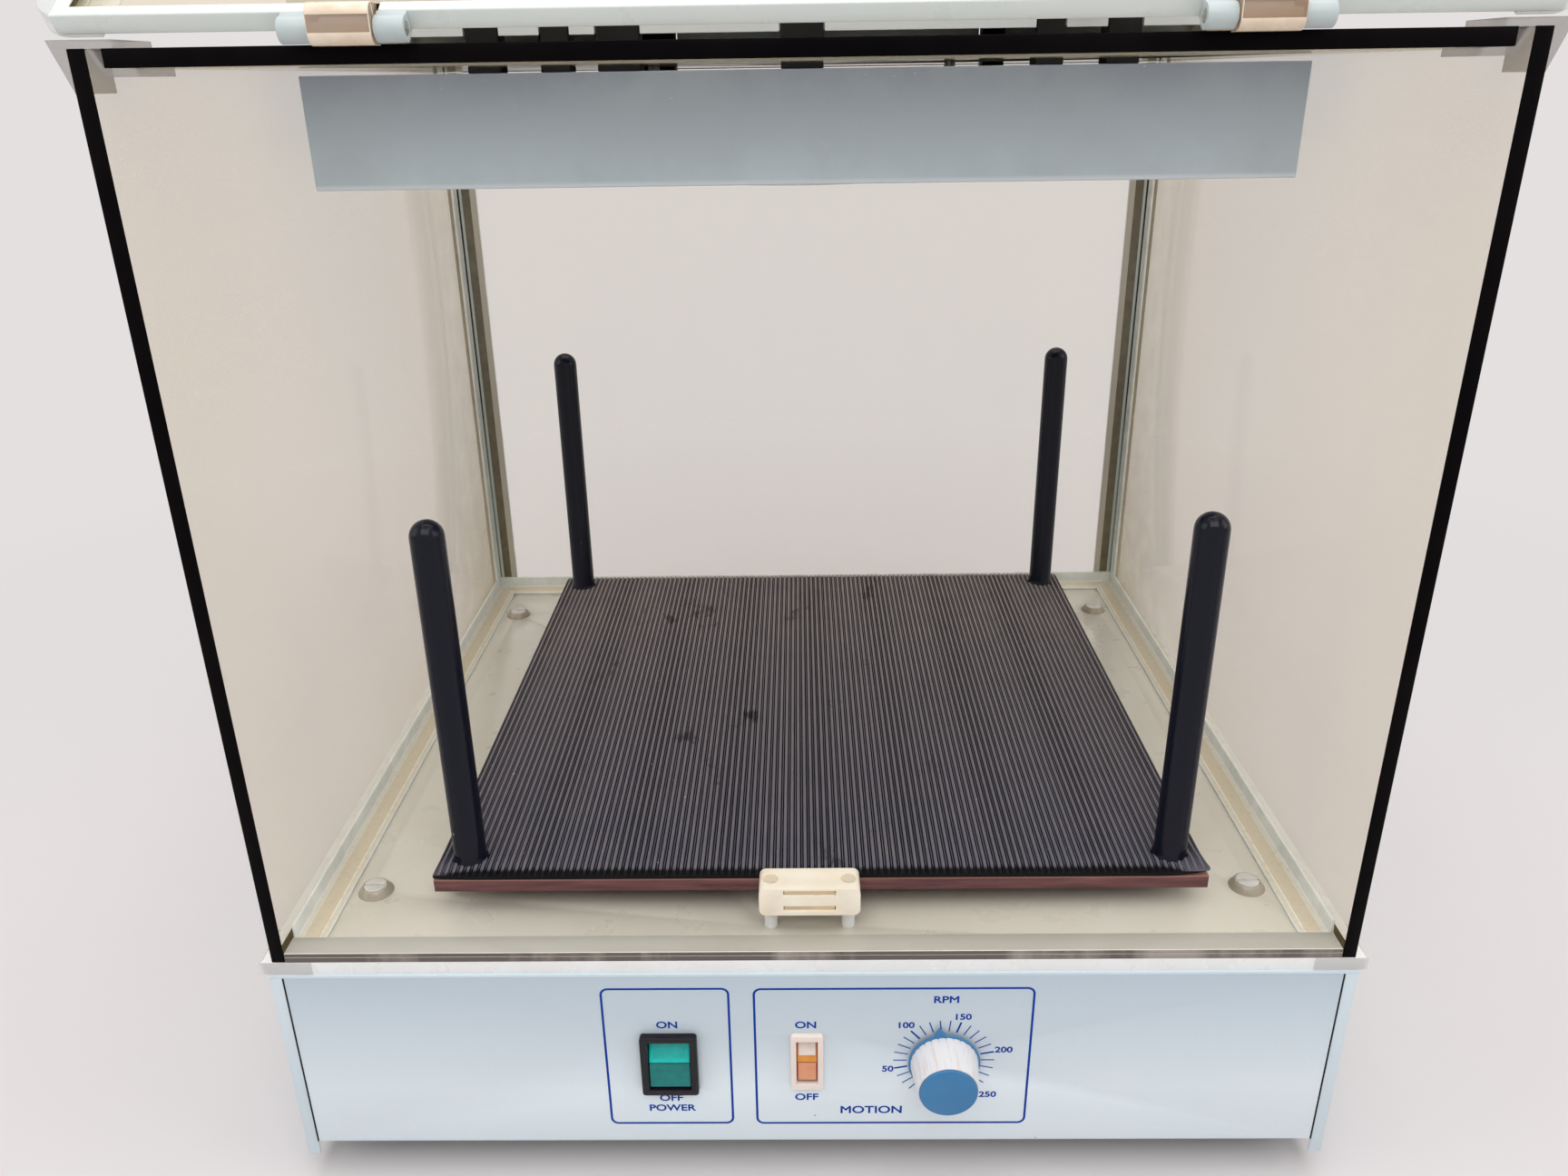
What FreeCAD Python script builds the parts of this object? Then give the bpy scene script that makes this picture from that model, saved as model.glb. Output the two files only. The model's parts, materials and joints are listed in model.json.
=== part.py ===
import FreeCAD, Part
import math
import os

from FreeCAD import Rotation, Vector

# Incubated benchtop shaker. Millimetres, X to the right, Y to the back, Z up.
# Drawn about the axis of the platform drive, with the bench at the bottom.
# The export moves everything along Y, so that the origin is the middle of the overall footprint.

# Case, whose footprint follows from the platform
side_aisle = 60.0
skirt_clearance = 12.0
skirt_height = 100.2
case_sheet = 1.2
case_fold = 12.0
return_width = 5.5
seam_gap = 0.4
fit_gap = 0.2
along_share = 0.9
fascia_lift = 8.0

# Floor of the chamber
frame_height = 6.1
frame_overhang = 2.5
floor_sheet = 2.5

# Hood
acrylic = 5.6
hood_height = 343.9
hood_inset = 2.0
hood_setback = 1.2
rear_ledge = 4.9
panel_gap = 0.1
angle_wide = 14.0
angle_narrow = 8.0
angle_thick = 1.5
front_strip_width = 11.0
front_strip_thick = 2.0
mitre_gap = 0.2
clip_depth = 25.0
clip_thick = 2.5
clip_reach = 14.5
clip_wing = 6.0
clip_drop = 13.0
clip_notch = 5.0
clip_rib = 2.1
clip_ledge = 20.5
floor_cap_leg = 22.0
floor_cap_thick = 1.0

# Platform
platform_size = 335.0
platform_gap = 11.3
board_thickness = 6.0
mat_base = 1.7
mat_rib = 1.5
rib_pitch = 3.0
rib_width = 2.0
rib_hem = 2.0
post_edge = 13.5
post_diameter = 14.0
post_height = 160.9
post_collar = 2.0
post_collar_width = 2.0
post_nut_across = 10.0
post_nut_height = 5.0
post_thread = 6.0

# Orbital drive
crank_throw = 8.0
crank_rest_deg = -57.0
shaft_diameter = 17.0
crank_pin = 12.0
crank_disc = 40.0
disc_thickness = 3.0
disc_gap = 1.0
running_gap = 0.5
bearing_gap = 0.05
hub_wall = 10.0
housing_wall = 17.5
housing_drop = 41.0
housing_flange = 16.0
flange_thickness = 4.0
spigot_wall = 6.5
idler_edge = 52.5
idler_count = 3
idler_first_deg = 90.0
idler_shaft = 10.0
idler_pin = 8.0
idler_disc = 30.0
idler_drop = 22.0
idler_wall = 9.0
idler_flange = 8.0
idler_spigot_wall = 5.0
pulley_diameter = 110.0
pulley_width = 10.0
pulley_gap = 8.0
pulley_web = 4.0
pulley_rim = 7.0
pulley_boss = 34.0
counterweight_radius = 44.0
counterweight_height = 9.0
small_pulley_diameter = 22.0
belt_thickness = 2.0
belt_width = 8.0
belt_gap = 0.3
motor_inset_x = 102.5
motor_y = 70.0
motor_diameter = 64.0
motor_height = 38.0
motor_flange = 76.0
motor_shaft = 8.0
motor_bore_depth = 14.0

# Door
door_overhang = 0.5
door_thickness = 6.4
door_panel_thickness = 4.0
door_web = 1.5
door_lip = 4.8
door_gap = 0.6
door_bottom_gap = 2.0
hinge_rise = 4.0
hinge_edge_gap = 4.5
hinge_inset = 89.4
saddle_width = 19.2
saddle_reach = 10.0
saddle_low = 4.5
saddle_high = 7.5
saddle_plate = 3.0
saddle_plate_length = 23.0
saddle_round = 3.5
knuckle_width = 9.2
knuckle_radius = 3.9
knuckle_gap = 0.3
hinge_pin = 4.0
notch_depth = 5.2
notch_gap = 0.6
door_corner_size = 20.0
door_corner_ear = 6.0
door_corner_face = 1.0
door_corner_round = 10.0

# Magnetic catch and its strike
catch_width = 42.6
catch_depth = 14.4
catch_height = 13.5
catch_lift = 10.6
catch_setback = 12.5
catch_gap = 0.9
catch_screw_pitch = 33.0
catch_post = 5.7
catch_round = 3.0
catch_bore = 6.6
catch_bore_depth = 5.6
catch_slot_width = 22.0
catch_slot_height = 2.5
catch_slot_offset = 3.85
catch_slot_rise = 0.55
catch_slot_depth = 10.0
pole_gap = 0.35
pole_recess = 0.9
screw_head_height = 1.6
screw_shank = 3.0
strike_gap = 0.3
strike_sheet = 1.2
strike_foot = 9.0

# Screws in the chamber floor
floor_screw_inset_x = 32.0
floor_screw_inset_y = 53.0
floor_screw_y = -7.0
cup_diameter = 16.0
cup_top_diameter = 11.4
cup_height = 3.3
floor_screw_head = 10.0
floor_screw_head_height = 2.4
floor_screw_sink = 2.1
floor_screw_shank = 5.0
floor_screw_slot = 1.2
floor_screw_slot_depth = 1.0
floor_screw_reach = 8.0

# Heater and control boxes at the top
heater_side_gap = 17.9
heater_half_depth = 82.0
heater_height = 44.0
spacer_gap = 2.4
spacer_depth = 14.0
outer_spacer_x = 127.0
outer_spacer_width = 13.0
middle_spacer_x = 98.0
middle_spacer_width = 11.0
centre_spacer_width = 17.0
extra_spacer_x = 73.0
top_box_height = 77.0
top_box_drop = 5.5
top_spacer_height = 11.0
spacer_side_gap = 0.5
intake_margin = 22.0
fan_margin = 6.0
fan_blades = 7
fan_blade_thick = 1.6
fan_blade_height = 16.0
fan_blade_pitch_deg = 35.0
fan_hub_diameter = 34.0
fan_hub_height = 18.0
fan_root_share = 0.67
fan_lift = 10.0
fan_shaft = 6.0
fan_motor_diameter = 62.0
fan_motor_height = 46.0
fan_bore_depth = 23.0
fan_hole = 14.0
guard_wire = 1.8
guard_lap = 3.6
guard_pitch = 15.0
guard_rings = 4
guard_spokes = 4
element_gap = 14.0
element_tube = 7.0
element_leg = 5.0
element_rise = 14.0
buffer_width = 22.0
buffer_depth = 12.0
buffer_inset = 3.0
buffer_gap = 0.3
buffer_height = 3.683
buffer_inset_x = 52.0
temp_knob_inset = 92.0
temp_knob_diameter = 28.0
temp_knob_depth = 14.0
temp_knob_rib = 1.8
temp_knob_rib_rise = 0.9
thermostat_size = 40.0
thermostat_depth = 28.0
spindle = 6.0
spindle_reach = 10.0
outlet_length = 60.0
outlet_height = 10.0
outlet_rise = 10.0
outlet_inset = 52.0

# Controls on the fascia
mains_x = -61.1
mains_z = 65.9
mains_bezel_width = 24.5
mains_bezel_height = 31.9
mains_bezel_depth = 3.4
mains_rocker_width = 17.9
mains_rocker_height = 26.3
mains_body_width = 21.5
mains_body_height = 28.5
mains_body_depth = 24.0
shaker_x = -1.7
shaker_z = 66.7
shaker_bezel_width = 14.0
shaker_bezel_height = 30.0
shaker_bezel_depth = 2.3
shaker_rocker_width = 8.9
shaker_rocker_height = 23.4
shaker_body_width = 12.4
shaker_body_height = 26.6
shaker_body_depth = 20.0
bezel_round = 1.5
rocker_ridge_deg = 11.0
rocker_swing_deg = 13.0
rocker_sink = 1.2
rocker_pivot_sink = 6.0
rocker_gap = 0.15
rocker_body = 5.0
rocker_length_share = 0.96
rocker_back_share = 0.8
rocker_well_share = 0.25
dial_x = 57.3
dial_z = 66.4
knob_diameter = 29.2
knob_end_diameter = 25.6
knob_depth = 15.5
knob_ring = 31.0
knob_ring_depth = 1.0
knob_flutes = 28
knob_flute = 1.2
knob_flute_offset = 0.3
knob_cap_diameter = 24.4
knob_cap_depth = 1.8
knob_cap_sink = 0.8
knob_pointer = 4.5
knob_pointer_width = 6.5
knob_pointer_deg = -8.4
knob_stand_off = 0.3
pot_diameter = 24.0
pot_depth = 12.0
pot_bush = 9.5
pot_nut = 14.0
pot_nut_thick = 1.2

# Rear inlet, vents, feet and board
inlet_inset = 77.5
inlet_z = 60.0
inlet_flange_width = 50.0
inlet_flange_height = 32.0
inlet_flange_thick = 3.0
inlet_body_width = 30.0
inlet_body_height = 25.0
inlet_body_depth = 24.0
inlet_recess_width = 24.0
inlet_recess_height = 17.0
inlet_recess_depth = 16.0
inlet_pin_width = 2.0
inlet_pin_height = 4.0
inlet_pin_length = 12.0
inlet_pin_pitch = 7.0
inlet_pin_rise = 1.5
vent_count = 8
vent_pitch = 12.0
vent_width = 4.0
vent_height = 36.0
vent_round_share = 0.3
vent_x = 90.0
vent_z = 62.0
foot_diameter = 32.0
foot_inset_x = 37.5
foot_inset_y = 39.5
foot_recess = 14.0
foot_recess_depth = 10.0
foot_screw = 5.0
foot_screw_head = 9.6
foot_screw_head_height = 4.0
foot_screw_reach = 6.0
pcb_inset_x = 132.5
pcb_inset_y = 109.5
pcb_width = 120.0
pcb_depth = 85.0
pcb_thick = 1.6
pcb_stand = 8.0
pcb_post = 6.0
pcb_margin = 8.0
chip_height = 14.0
chip_width = 26.0
chip_depth = 18.0
chip_pitch = 40.0

# Levels and planes that follow from the sizes above
half_base = platform_size / 2 + side_aisle
front_aisle = hood_setback + catch_setback + catch_depth + catch_gap + crank_throw
rear_y = platform_size / 2 + front_aisle
front_y = -rear_y
deck_z = skirt_clearance + skirt_height + case_sheet
deck_under_z = deck_z - case_sheet
fascia_bottom_z = skirt_clearance + fascia_lift
bottom_plate_z = fascia_bottom_z + case_sheet
frame_top_z = deck_z + frame_height
floor_z = frame_top_z + floor_sheet
hood_front_y = front_y + hood_setback
hood_back_y = rear_y - rear_ledge
hood_outer_x = half_base - hood_inset
hood_inner_x = hood_outer_x - acrylic
back_wall_y = hood_back_y - acrylic
hood_under_z = frame_top_z + hood_height
hood_top_z = hood_under_z + acrylic
board_z = floor_z + platform_gap
board_top_z = board_z + board_thickness
mat_top_z = board_top_z + mat_base + mat_rib
disc_z = floor_z + disc_gap
disc_top_z = disc_z + disc_thickness
hub_z = disc_top_z + running_gap
crank_rest = math.radians(crank_rest_deg)
throw_x = crank_throw * math.cos(crank_rest)
throw_y = crank_throw * math.sin(crank_rest)
heater_top_z = hood_under_z - spacer_gap
heater_z = heater_top_z - heater_height
top_box_z = hood_top_z + top_box_drop
top_box_top_z = top_box_z + top_box_height
chassis_z = hood_top_z + top_spacer_height
chassis_top_z = chassis_z + case_sheet
heater_half_width = hood_inner_x - heater_side_gap
intake_diameter = 2 * (heater_half_depth - intake_margin)
fan_diameter = intake_diameter - 2 * fan_margin
element_radius = heater_half_depth - element_gap
outlet_x = heater_half_width - outlet_inset
buffer_x = heater_half_width - buffer_inset_x
temp_knob_x = heater_half_width - temp_knob_inset
hinge_centre_x = half_base - hinge_inset
door_half_width = half_base + door_overhang
hinge_y = hood_front_y - door_gap - door_thickness / 2
hinge_z = hood_top_z + hinge_rise
door_outer_y = hinge_y - door_thickness / 2
door_inner_y = hinge_y + door_thickness / 2
door_top_z = hinge_z - hinge_edge_gap
door_bottom_z = deck_z + door_bottom_gap
buffer_y = buffer_inset - heater_half_depth
buffer_reach = buffer_y - hinge_y
buffer_rise = top_box_top_z + buffer_height - hinge_z
buffer_offset = door_thickness / 2 + buffer_gap
buffer_span = math.hypot(buffer_reach, buffer_rise)
door_lean = math.atan2(buffer_rise, buffer_reach) + math.asin(buffer_offset / buffer_span)
door_open_deg = 270.0 - math.degrees(door_lean)
catch_front_y = hood_front_y + catch_setback
catch_back_y = catch_front_y + catch_depth
catch_y = catch_front_y + catch_depth / 2
catch_z = floor_z + catch_lift
catch_top_z = catch_z + catch_height
pulley_top_z = deck_under_z - housing_drop - pulley_gap
pulley_z = pulley_top_z - pulley_width
post_pitch = platform_size - 2 * post_edge
idler_radius = platform_size / 2 - idler_edge
floor_screw_x = half_base - floor_screw_inset_x
floor_screw_depth = rear_y - floor_screw_inset_y
foot_x = half_base - foot_inset_x
foot_y = rear_y - foot_inset_y
inlet_x = inlet_inset - half_base
motor_x = half_base - motor_inset_x
pcb_x = pcb_inset_x - half_base
pcb_y = front_y + pcb_inset_y


def box(x0, x1, y0, y1, z0, z1):
    return Part.makeBox(x1 - x0, y1 - y0, z1 - z0, Vector(x0, y0, z0))


def rod_z(diameter, z0, z1, x=0, y=0):
    return Part.makeCylinder(diameter / 2, z1 - z0, Vector(x, y, z0))


def rod_y(diameter, y0, y1, x, z):
    return Part.makeCylinder(diameter / 2, y1 - y0, Vector(x, y0, z), Vector(0, 1, 0))


def rod_x(diameter, x0, x1, y, z):
    return Part.makeCylinder(diameter / 2, x1 - x0, Vector(x0, y, z), Vector(1, 0, 0))


def tube_z(outer, inner, z0, z1, x=0, y=0):
    return rod_z(outer, z0, z1, x, y).cut(rod_z(inner, z0, z1, x, y))


def prism_x(points, x0, x1):
    wire = Part.makePolygon([Vector(x0, y, z) for y, z in points + points[:1]])
    return Part.Face(wire).extrude(Vector(x1 - x0, 0, 0))


def prism_y(points, y0, y1):
    wire = Part.makePolygon([Vector(x, y0, z) for x, z in points + points[:1]])
    return Part.Face(wire).extrude(Vector(0, y1 - y0, 0))


def plate_xz(x, z, width, height, y0, y1, radius):
    """A plate across the front with rounded corners."""
    shape = box(x - width / 2, x + width / 2, y0, y1, z - height / 2, z + height / 2)
    edges = [e for e in shape.Edges if abs(e.tangentAt(e.FirstParameter).y) > along_share]
    return shape.makeFillet(radius, edges)


def fuse(shapes):
    whole = shapes[0]
    for shape in shapes[1:]:
        whole = whole.fuse(shape)
    return whole.removeSplitter()


def group(shapes):
    return Part.makeCompound(shapes)


def mirrored_x(shape):
    return shape.mirror(Vector(0, 0, 0), Vector(1, 0, 0))


def mirrored_y(shape):
    return shape.mirror(Vector(0, 0, 0), Vector(0, 1, 0))


def turned(shape, x, y, z, axis, degrees):
    copy = shape.copy()
    copy.rotate(Vector(x, y, z), axis, degrees)
    return copy


def opened(shape):
    """Swing a door part from the closed place to the open one."""
    return turned(shape, 0, hinge_y, hinge_z, Vector(1, 0, 0), -door_open_deg)


def four(half_x, half_y):
    return [(sx * half_x, sy * half_y) for sx in (-1, 1) for sy in (-1, 1)]


# Case
def side_skirts():
    inner_x = half_base - case_sheet
    wall = box(inner_x, half_base, front_y, rear_y, skirt_clearance, deck_under_z)
    fold = box(inner_x - case_fold, inner_x, front_y + case_sheet, rear_y - case_sheet,
               deck_under_z - case_sheet, deck_under_z)
    front = box(half_base - return_width, inner_x, front_y, front_y + case_sheet,
                skirt_clearance, deck_under_z)
    rear = mirrored_y(front)
    right = fuse([wall, fold, front, rear])
    return group([right, mirrored_x(right)])


def cross_panel():
    """The front panel of the case with its top and bottom folds."""
    half = half_base - return_width - seam_gap
    fold_half = half_base - case_sheet - case_fold - seam_gap
    wall = box(-half, half, front_y, front_y + case_sheet, fascia_bottom_z, deck_under_z)
    upper = box(-fold_half, fold_half, front_y, front_y + case_fold,
                deck_under_z - case_sheet, deck_under_z)
    lower = box(-fold_half, fold_half, front_y, front_y + case_fold, fascia_bottom_z, bottom_plate_z)
    return fuse([wall, upper, lower])


def panel_hole(x, z, width, height, through):
    """A square opening for a body that fits it with the usual gap."""
    half_width = width / 2 + fit_gap
    half_height = height / 2 + fit_gap
    return box(x - half_width, x + half_width, *through, z - half_height, z + half_height)


def front_fascia():
    through = (front_y - case_fold, front_y + case_fold)
    mains_hole = panel_hole(mains_x, mains_z, mains_body_width, mains_body_height, through)
    shaker_hole = panel_hole(shaker_x, shaker_z, shaker_body_width, shaker_body_height, through)
    dial_hole = rod_y(pot_bush + 2 * fit_gap, *through, dial_x, dial_z)
    return cross_panel().cut(fuse([mains_hole, shaker_hole, dial_hole]))


def rear_panel():
    panel = mirrored_y(cross_panel())
    through = (rear_y - case_fold, rear_y + case_fold)
    cuts = [panel_hole(inlet_x, inlet_z, inlet_body_width, inlet_body_height, through)]
    first = vent_x - vent_pitch * (vent_count - 1) / 2
    for i in range(vent_count):
        x = first + vent_pitch * i
        cuts.append(plate_xz(x, vent_z, vent_width, vent_height, *through, vent_width * vent_round_share))
    for cut in cuts:
        panel = panel.cut(cut)
    return panel


def bottom_plate():
    plate = box(-half_base + case_sheet + fit_gap, half_base - case_sheet - fit_gap,
                front_y + case_sheet + fit_gap, rear_y - case_sheet - fit_gap,
                bottom_plate_z, bottom_plate_z + case_sheet)
    for x, y in four(foot_x, foot_y):
        plate = plate.cut(rod_z(foot_screw + 2 * fit_gap, 0, deck_z, x, y))
    return plate


def drilled(sheet, z0, z1):
    """Cut the holes that every floor layer has, for the spigots and the floor screws."""
    sheet = sheet.cut(rod_z(main_spigot() + 2 * fit_gap, z0, z1))
    for x, y in idler_places():
        sheet = sheet.cut(rod_z(idler_spigot() + 2 * fit_gap, z0, z1, x, y))
    for x, y in floor_screw_places():
        sheet = sheet.cut(rod_z(floor_screw_shank + 2 * fit_gap, z0, z1, x, y))
    return sheet


def deck_plate():
    plate = box(-half_base, half_base, front_y, rear_y, deck_under_z, deck_z)
    return drilled(plate, deck_under_z, deck_z)


def feet():
    pads = []
    for x, y in four(foot_x, foot_y):
        pad = rod_z(foot_diameter, 0, bottom_plate_z, x, y)
        pad = pad.cut(rod_z(foot_recess, 0, foot_recess_depth, x, y))
        pads.append(pad.cut(rod_z(foot_screw + 2 * fit_gap, 0, bottom_plate_z, x, y)))
    return group(pads)


def foot_screws():
    screws = []
    for x, y in four(foot_x, foot_y):
        head = rod_z(foot_screw_head, foot_recess_depth - foot_screw_head_height, foot_recess_depth, x, y)
        shank = rod_z(foot_screw, foot_recess_depth, bottom_plate_z + case_sheet + foot_screw_reach, x, y)
        screws.append(fuse([head, shank]))
    return group(screws)


# Chamber floor
def floor_base():
    half = half_base + frame_overhang
    base = box(-half, half, hood_front_y, rear_y, deck_z, frame_top_z)
    return drilled(base, deck_z, frame_top_z)


def floor_screw_places():
    return [(x, y + floor_screw_y) for x, y in four(floor_screw_x, floor_screw_depth)]


def chamber_floor():
    half = hood_inner_x - panel_gap
    sheet = box(-half, half, hood_front_y, back_wall_y - panel_gap, frame_top_z, floor_z)
    sheet = drilled(sheet, frame_top_z, floor_z)
    for x in (-catch_screw_pitch / 2, catch_screw_pitch / 2):
        sheet = sheet.cut(rod_z(screw_shank + 2 * fit_gap, frame_top_z, floor_z, x, catch_y))
    return sheet


def cup_washers():
    cups = []
    for x, y in floor_screw_places():
        cup = Part.makeCone(cup_diameter / 2, cup_top_diameter / 2, cup_height, Vector(x, y, floor_z))
        top_z = floor_z + cup_height
        cup = cup.cut(rod_z(floor_screw_head + 2 * fit_gap, top_z - floor_screw_sink, top_z, x, y))
        cups.append(cup.cut(rod_z(floor_screw_shank + 2 * fit_gap, floor_z, top_z, x, y)))
    return group(cups)


def floor_screws():
    screws = []
    for x, y in floor_screw_places():
        head_z = floor_z + cup_height - floor_screw_sink
        head_top_z = head_z + floor_screw_head_height
        head = rod_z(floor_screw_head, head_z, head_top_z, x, y)
        slot = box(x - floor_screw_head, x + floor_screw_head, y - floor_screw_slot / 2,
                   y + floor_screw_slot / 2, head_top_z - floor_screw_slot_depth, head_top_z)
        shank = rod_z(floor_screw_shank, deck_under_z - floor_screw_reach, head_z, x, y)
        screws.append(fuse([head.cut(slot), shank]))
    return group(screws)


# Hood
def side_panel():
    return box(hood_inner_x, hood_outer_x, hood_front_y, hood_back_y, frame_top_z, hood_top_z)


def back_panel():
    half = hood_inner_x - panel_gap
    return box(-half, half, back_wall_y, hood_back_y, frame_top_z, hood_under_z)


def top_panel():
    """The sheet between the side panels, notched for the clips at its front corners."""
    half = hood_inner_x - panel_gap
    sheet = box(-half, half, hood_front_y, hood_back_y, hood_under_z, hood_top_z)
    notch = box(hood_inner_x - clip_notch, hood_inner_x, hood_front_y, hood_front_y + clip_depth + fit_gap,
                hood_under_z, hood_top_z)
    sheet = sheet.cut(notch).cut(mirrored_x(notch))
    return sheet.cut(rod_z(fan_hole, hood_under_z, hood_top_z))


def mitre_slit(corner_x, corner_y, direction):
    length = math.hypot(angle_wide, angle_wide) + angle_thick
    slit = box(0, length, -mitre_gap / 2, mitre_gap / 2, floor_z, floor_z + angle_narrow)
    slit.rotate(Vector(0, 0, 0), Vector(0, 0, 1), direction)
    slit.translate(Vector(corner_x, corner_y, 0))
    return slit


def corner_angles():
    """Angle strips round the foot of the walls and up the back corners, and a flat one at the front."""
    half = hood_inner_x - panel_gap
    back = back_wall_y - panel_gap
    flange_z = floor_z + angle_thick
    edge_z = floor_z + angle_narrow
    rings = []
    for width, top_z in ((angle_wide, flange_z), (angle_thick, edge_z)):
        ring = box(-half, half, hood_front_y, back, floor_z, top_z)
        rings.append(ring.cut(box(-half + width, half - width, hood_front_y, back - width, floor_z, top_z)))
    strip_back = hood_front_y + front_strip_width
    strip = box(-half, half, hood_front_y, strip_back, floor_z, floor_z + front_strip_thick)
    foot = fuse(rings).cut(box(-half, half, hood_front_y, strip_back, floor_z, edge_z))
    for side, direction in ((-1, 315.0), (1, 225.0)):
        foot = foot.cut(mitre_slit(side * half, back, direction))
    z0 = edge_z + panel_gap
    z1 = hood_under_z - panel_gap
    on_back = box(half - angle_wide, half, back - angle_thick, back, z0, z1)
    on_side = box(half - angle_thick, half, back - angle_narrow, back, z0, z1)
    post = fuse([on_back, on_side])
    return group(foot.Solids + [post, mirrored_x(post), strip])


def hood_clip():
    """A clear clip over a front corner of the hood, with a rib and a ledge that hold the top panel."""
    high_z = hood_top_z + clip_thick
    low_z = hood_under_z - clip_thick
    reach_x = hood_outer_x - clip_reach
    ledge_x = hood_outer_x - clip_ledge
    end_x = hood_inner_x - clip_notch
    cap = [(reach_x, hood_top_z), (reach_x, high_z), (hood_outer_x + clip_wing, high_z),
           (hood_outer_x, hood_top_z - clip_drop), (hood_outer_x, hood_top_z)]
    rib = [(hood_inner_x - panel_gap, hood_top_z), (hood_inner_x - clip_rib, hood_top_z),
           (end_x, hood_under_z), (ledge_x, hood_under_z), (ledge_x, low_z), (end_x, low_z)]
    return fuse([prism_y(outline, hood_front_y, hood_front_y + clip_depth) for outline in (cap, rib)])


def floor_cap():
    """A clear cap round a front corner of the white base, clear of the closed door."""
    edge_x = half_base + frame_overhang
    corner_x = edge_x + floor_cap_thick
    front = hood_front_y - door_gap + fit_gap
    low_z = deck_z + panel_gap
    along = box(corner_x - floor_cap_leg, corner_x, front, hood_front_y, low_z, frame_top_z)
    beside = box(edge_x, corner_x, hood_front_y, front + floor_cap_leg, low_z, frame_top_z)
    return fuse([along, beside])


def corner_clips():
    pieces = [hood_clip(), floor_cap()]
    return group(pieces + [mirrored_x(piece) for piece in pieces])


# Heater box, top box and what they hold
def spacer_places():
    """Middle and width of each block across the front, and again across the back."""
    return [(-outer_spacer_x, outer_spacer_width), (outer_spacer_x, outer_spacer_width),
            (-middle_spacer_x, middle_spacer_width), (middle_spacer_x, middle_spacer_width),
            (0, centre_spacer_width), (-extra_spacer_x, centre_spacer_width)]


def hood_spacers():
    blocks = []
    for x, width in spacer_places():
        for z0, z1 in ((heater_top_z, hood_under_z), (hood_top_z, chassis_z)):
            block = box(x - width / 2, x + width / 2, -heater_half_depth, -heater_half_depth + spacer_depth,
                        z0, z1)
            blocks += [block, mirrored_y(block)]
    return group(blocks)


def heater_cover():
    outer = box(-heater_half_width, heater_half_width, -heater_half_depth, heater_half_depth,
                heater_z, heater_top_z)
    inner_x = heater_half_width - case_sheet
    inner_y = heater_half_depth - case_sheet
    hollow = box(-inner_x, inner_x, -inner_y, inner_y, heater_z + case_sheet, heater_top_z - case_sheet)
    mouth_x = inner_x - spacer_depth
    mouth_y = inner_y - spacer_depth
    mouth = box(-mouth_x, mouth_x, -mouth_y, mouth_y, heater_z + case_sheet, heater_top_z)
    shell = outer.cut(hollow).cut(mouth)
    shell = shell.cut(rod_z(intake_diameter, heater_z, heater_z + case_sheet))
    outlet_z = heater_z + outlet_rise
    for x in (-outlet_x, outlet_x):
        shell = shell.cut(box(x - outlet_length / 2, x + outlet_length / 2, heater_half_depth - case_fold,
                              heater_half_depth, outlet_z, outlet_z + outlet_height))
    return shell


def heater_element():
    z = heater_z + element_rise
    ring = Part.makeTorus(element_radius, element_tube / 2, Vector(0, 0, z))
    legs = [rod_z(element_leg, z, hood_under_z - fit_gap, x, 0) for x in (-element_radius, element_radius)]
    return fuse([ring] + legs)


def fan_guard():
    outer = intake_diameter / 2 + guard_lap
    radii = [outer - guard_pitch * i for i in range(guard_rings)]
    low = heater_z - guard_wire
    rings = [tube_z(2 * radius, 2 * (radius - guard_wire), low, heater_z) for radius in radii]
    spokes = []
    for i in range(guard_spokes):
        spoke = box(radii[-1] - guard_wire, outer, -guard_wire / 2, guard_wire / 2, low, heater_z)
        spoke.rotate(Vector(0, 0, 0), Vector(0, 0, 1), 360.0 / guard_spokes * i)
        spokes.append(spoke)
    return fuse(rings + spokes)


def fan_rotor():
    z = heater_z + fan_lift
    hub = rod_z(fan_hub_diameter, z, z + fan_hub_height)
    blades = []
    root = fan_hub_diameter / 2 * fan_root_share
    for i in range(fan_blades):
        blade = box(root, fan_diameter / 2, -fan_blade_thick / 2, fan_blade_thick / 2,
                    z, z + fan_blade_height)
        blade.rotate(Vector(0, 0, z + fan_blade_height / 2), Vector(1, 0, 0), fan_blade_pitch_deg)
        blade.rotate(Vector(0, 0, 0), Vector(0, 0, 1), 360.0 / fan_blades * i)
        blades.append(blade)
    shaft = rod_z(fan_shaft, z + fan_hub_height, chassis_top_z + fan_bore_depth)
    return fuse([hub, shaft] + blades)


def fan_motor():
    body = rod_z(fan_motor_diameter, chassis_top_z, chassis_top_z + fan_motor_height)
    bore = rod_z(fan_shaft + 2 * bearing_gap, chassis_top_z, chassis_top_z + fan_bore_depth + running_gap)
    return body.cut(bore)


def top_box():
    outer = box(-heater_half_width, heater_half_width, -heater_half_depth, heater_half_depth,
                top_box_z, top_box_top_z)
    inner_x = heater_half_width - case_sheet
    inner_y = heater_half_depth - case_sheet
    shell = outer.cut(box(-inner_x, inner_x, -inner_y, inner_y, top_box_z, top_box_top_z - case_sheet))
    for x, width in spacer_places():
        half = width / 2 + spacer_side_gap
        shell = shell.cut(box(x - half, x + half, -heater_half_depth, heater_half_depth,
                              top_box_z, chassis_z))
    return shell.cut(rod_y(spindle + 2 * fit_gap, -heater_half_depth, 0, temp_knob_x, thermostat_z()))


def top_box_chassis():
    half_x = heater_half_width - case_sheet - fit_gap
    half_y = heater_half_depth - case_sheet - fit_gap
    plate = box(-half_x, half_x, -half_y, half_y, chassis_z, chassis_top_z)
    return plate.cut(rod_z(fan_hole, chassis_z, chassis_top_z))


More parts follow.
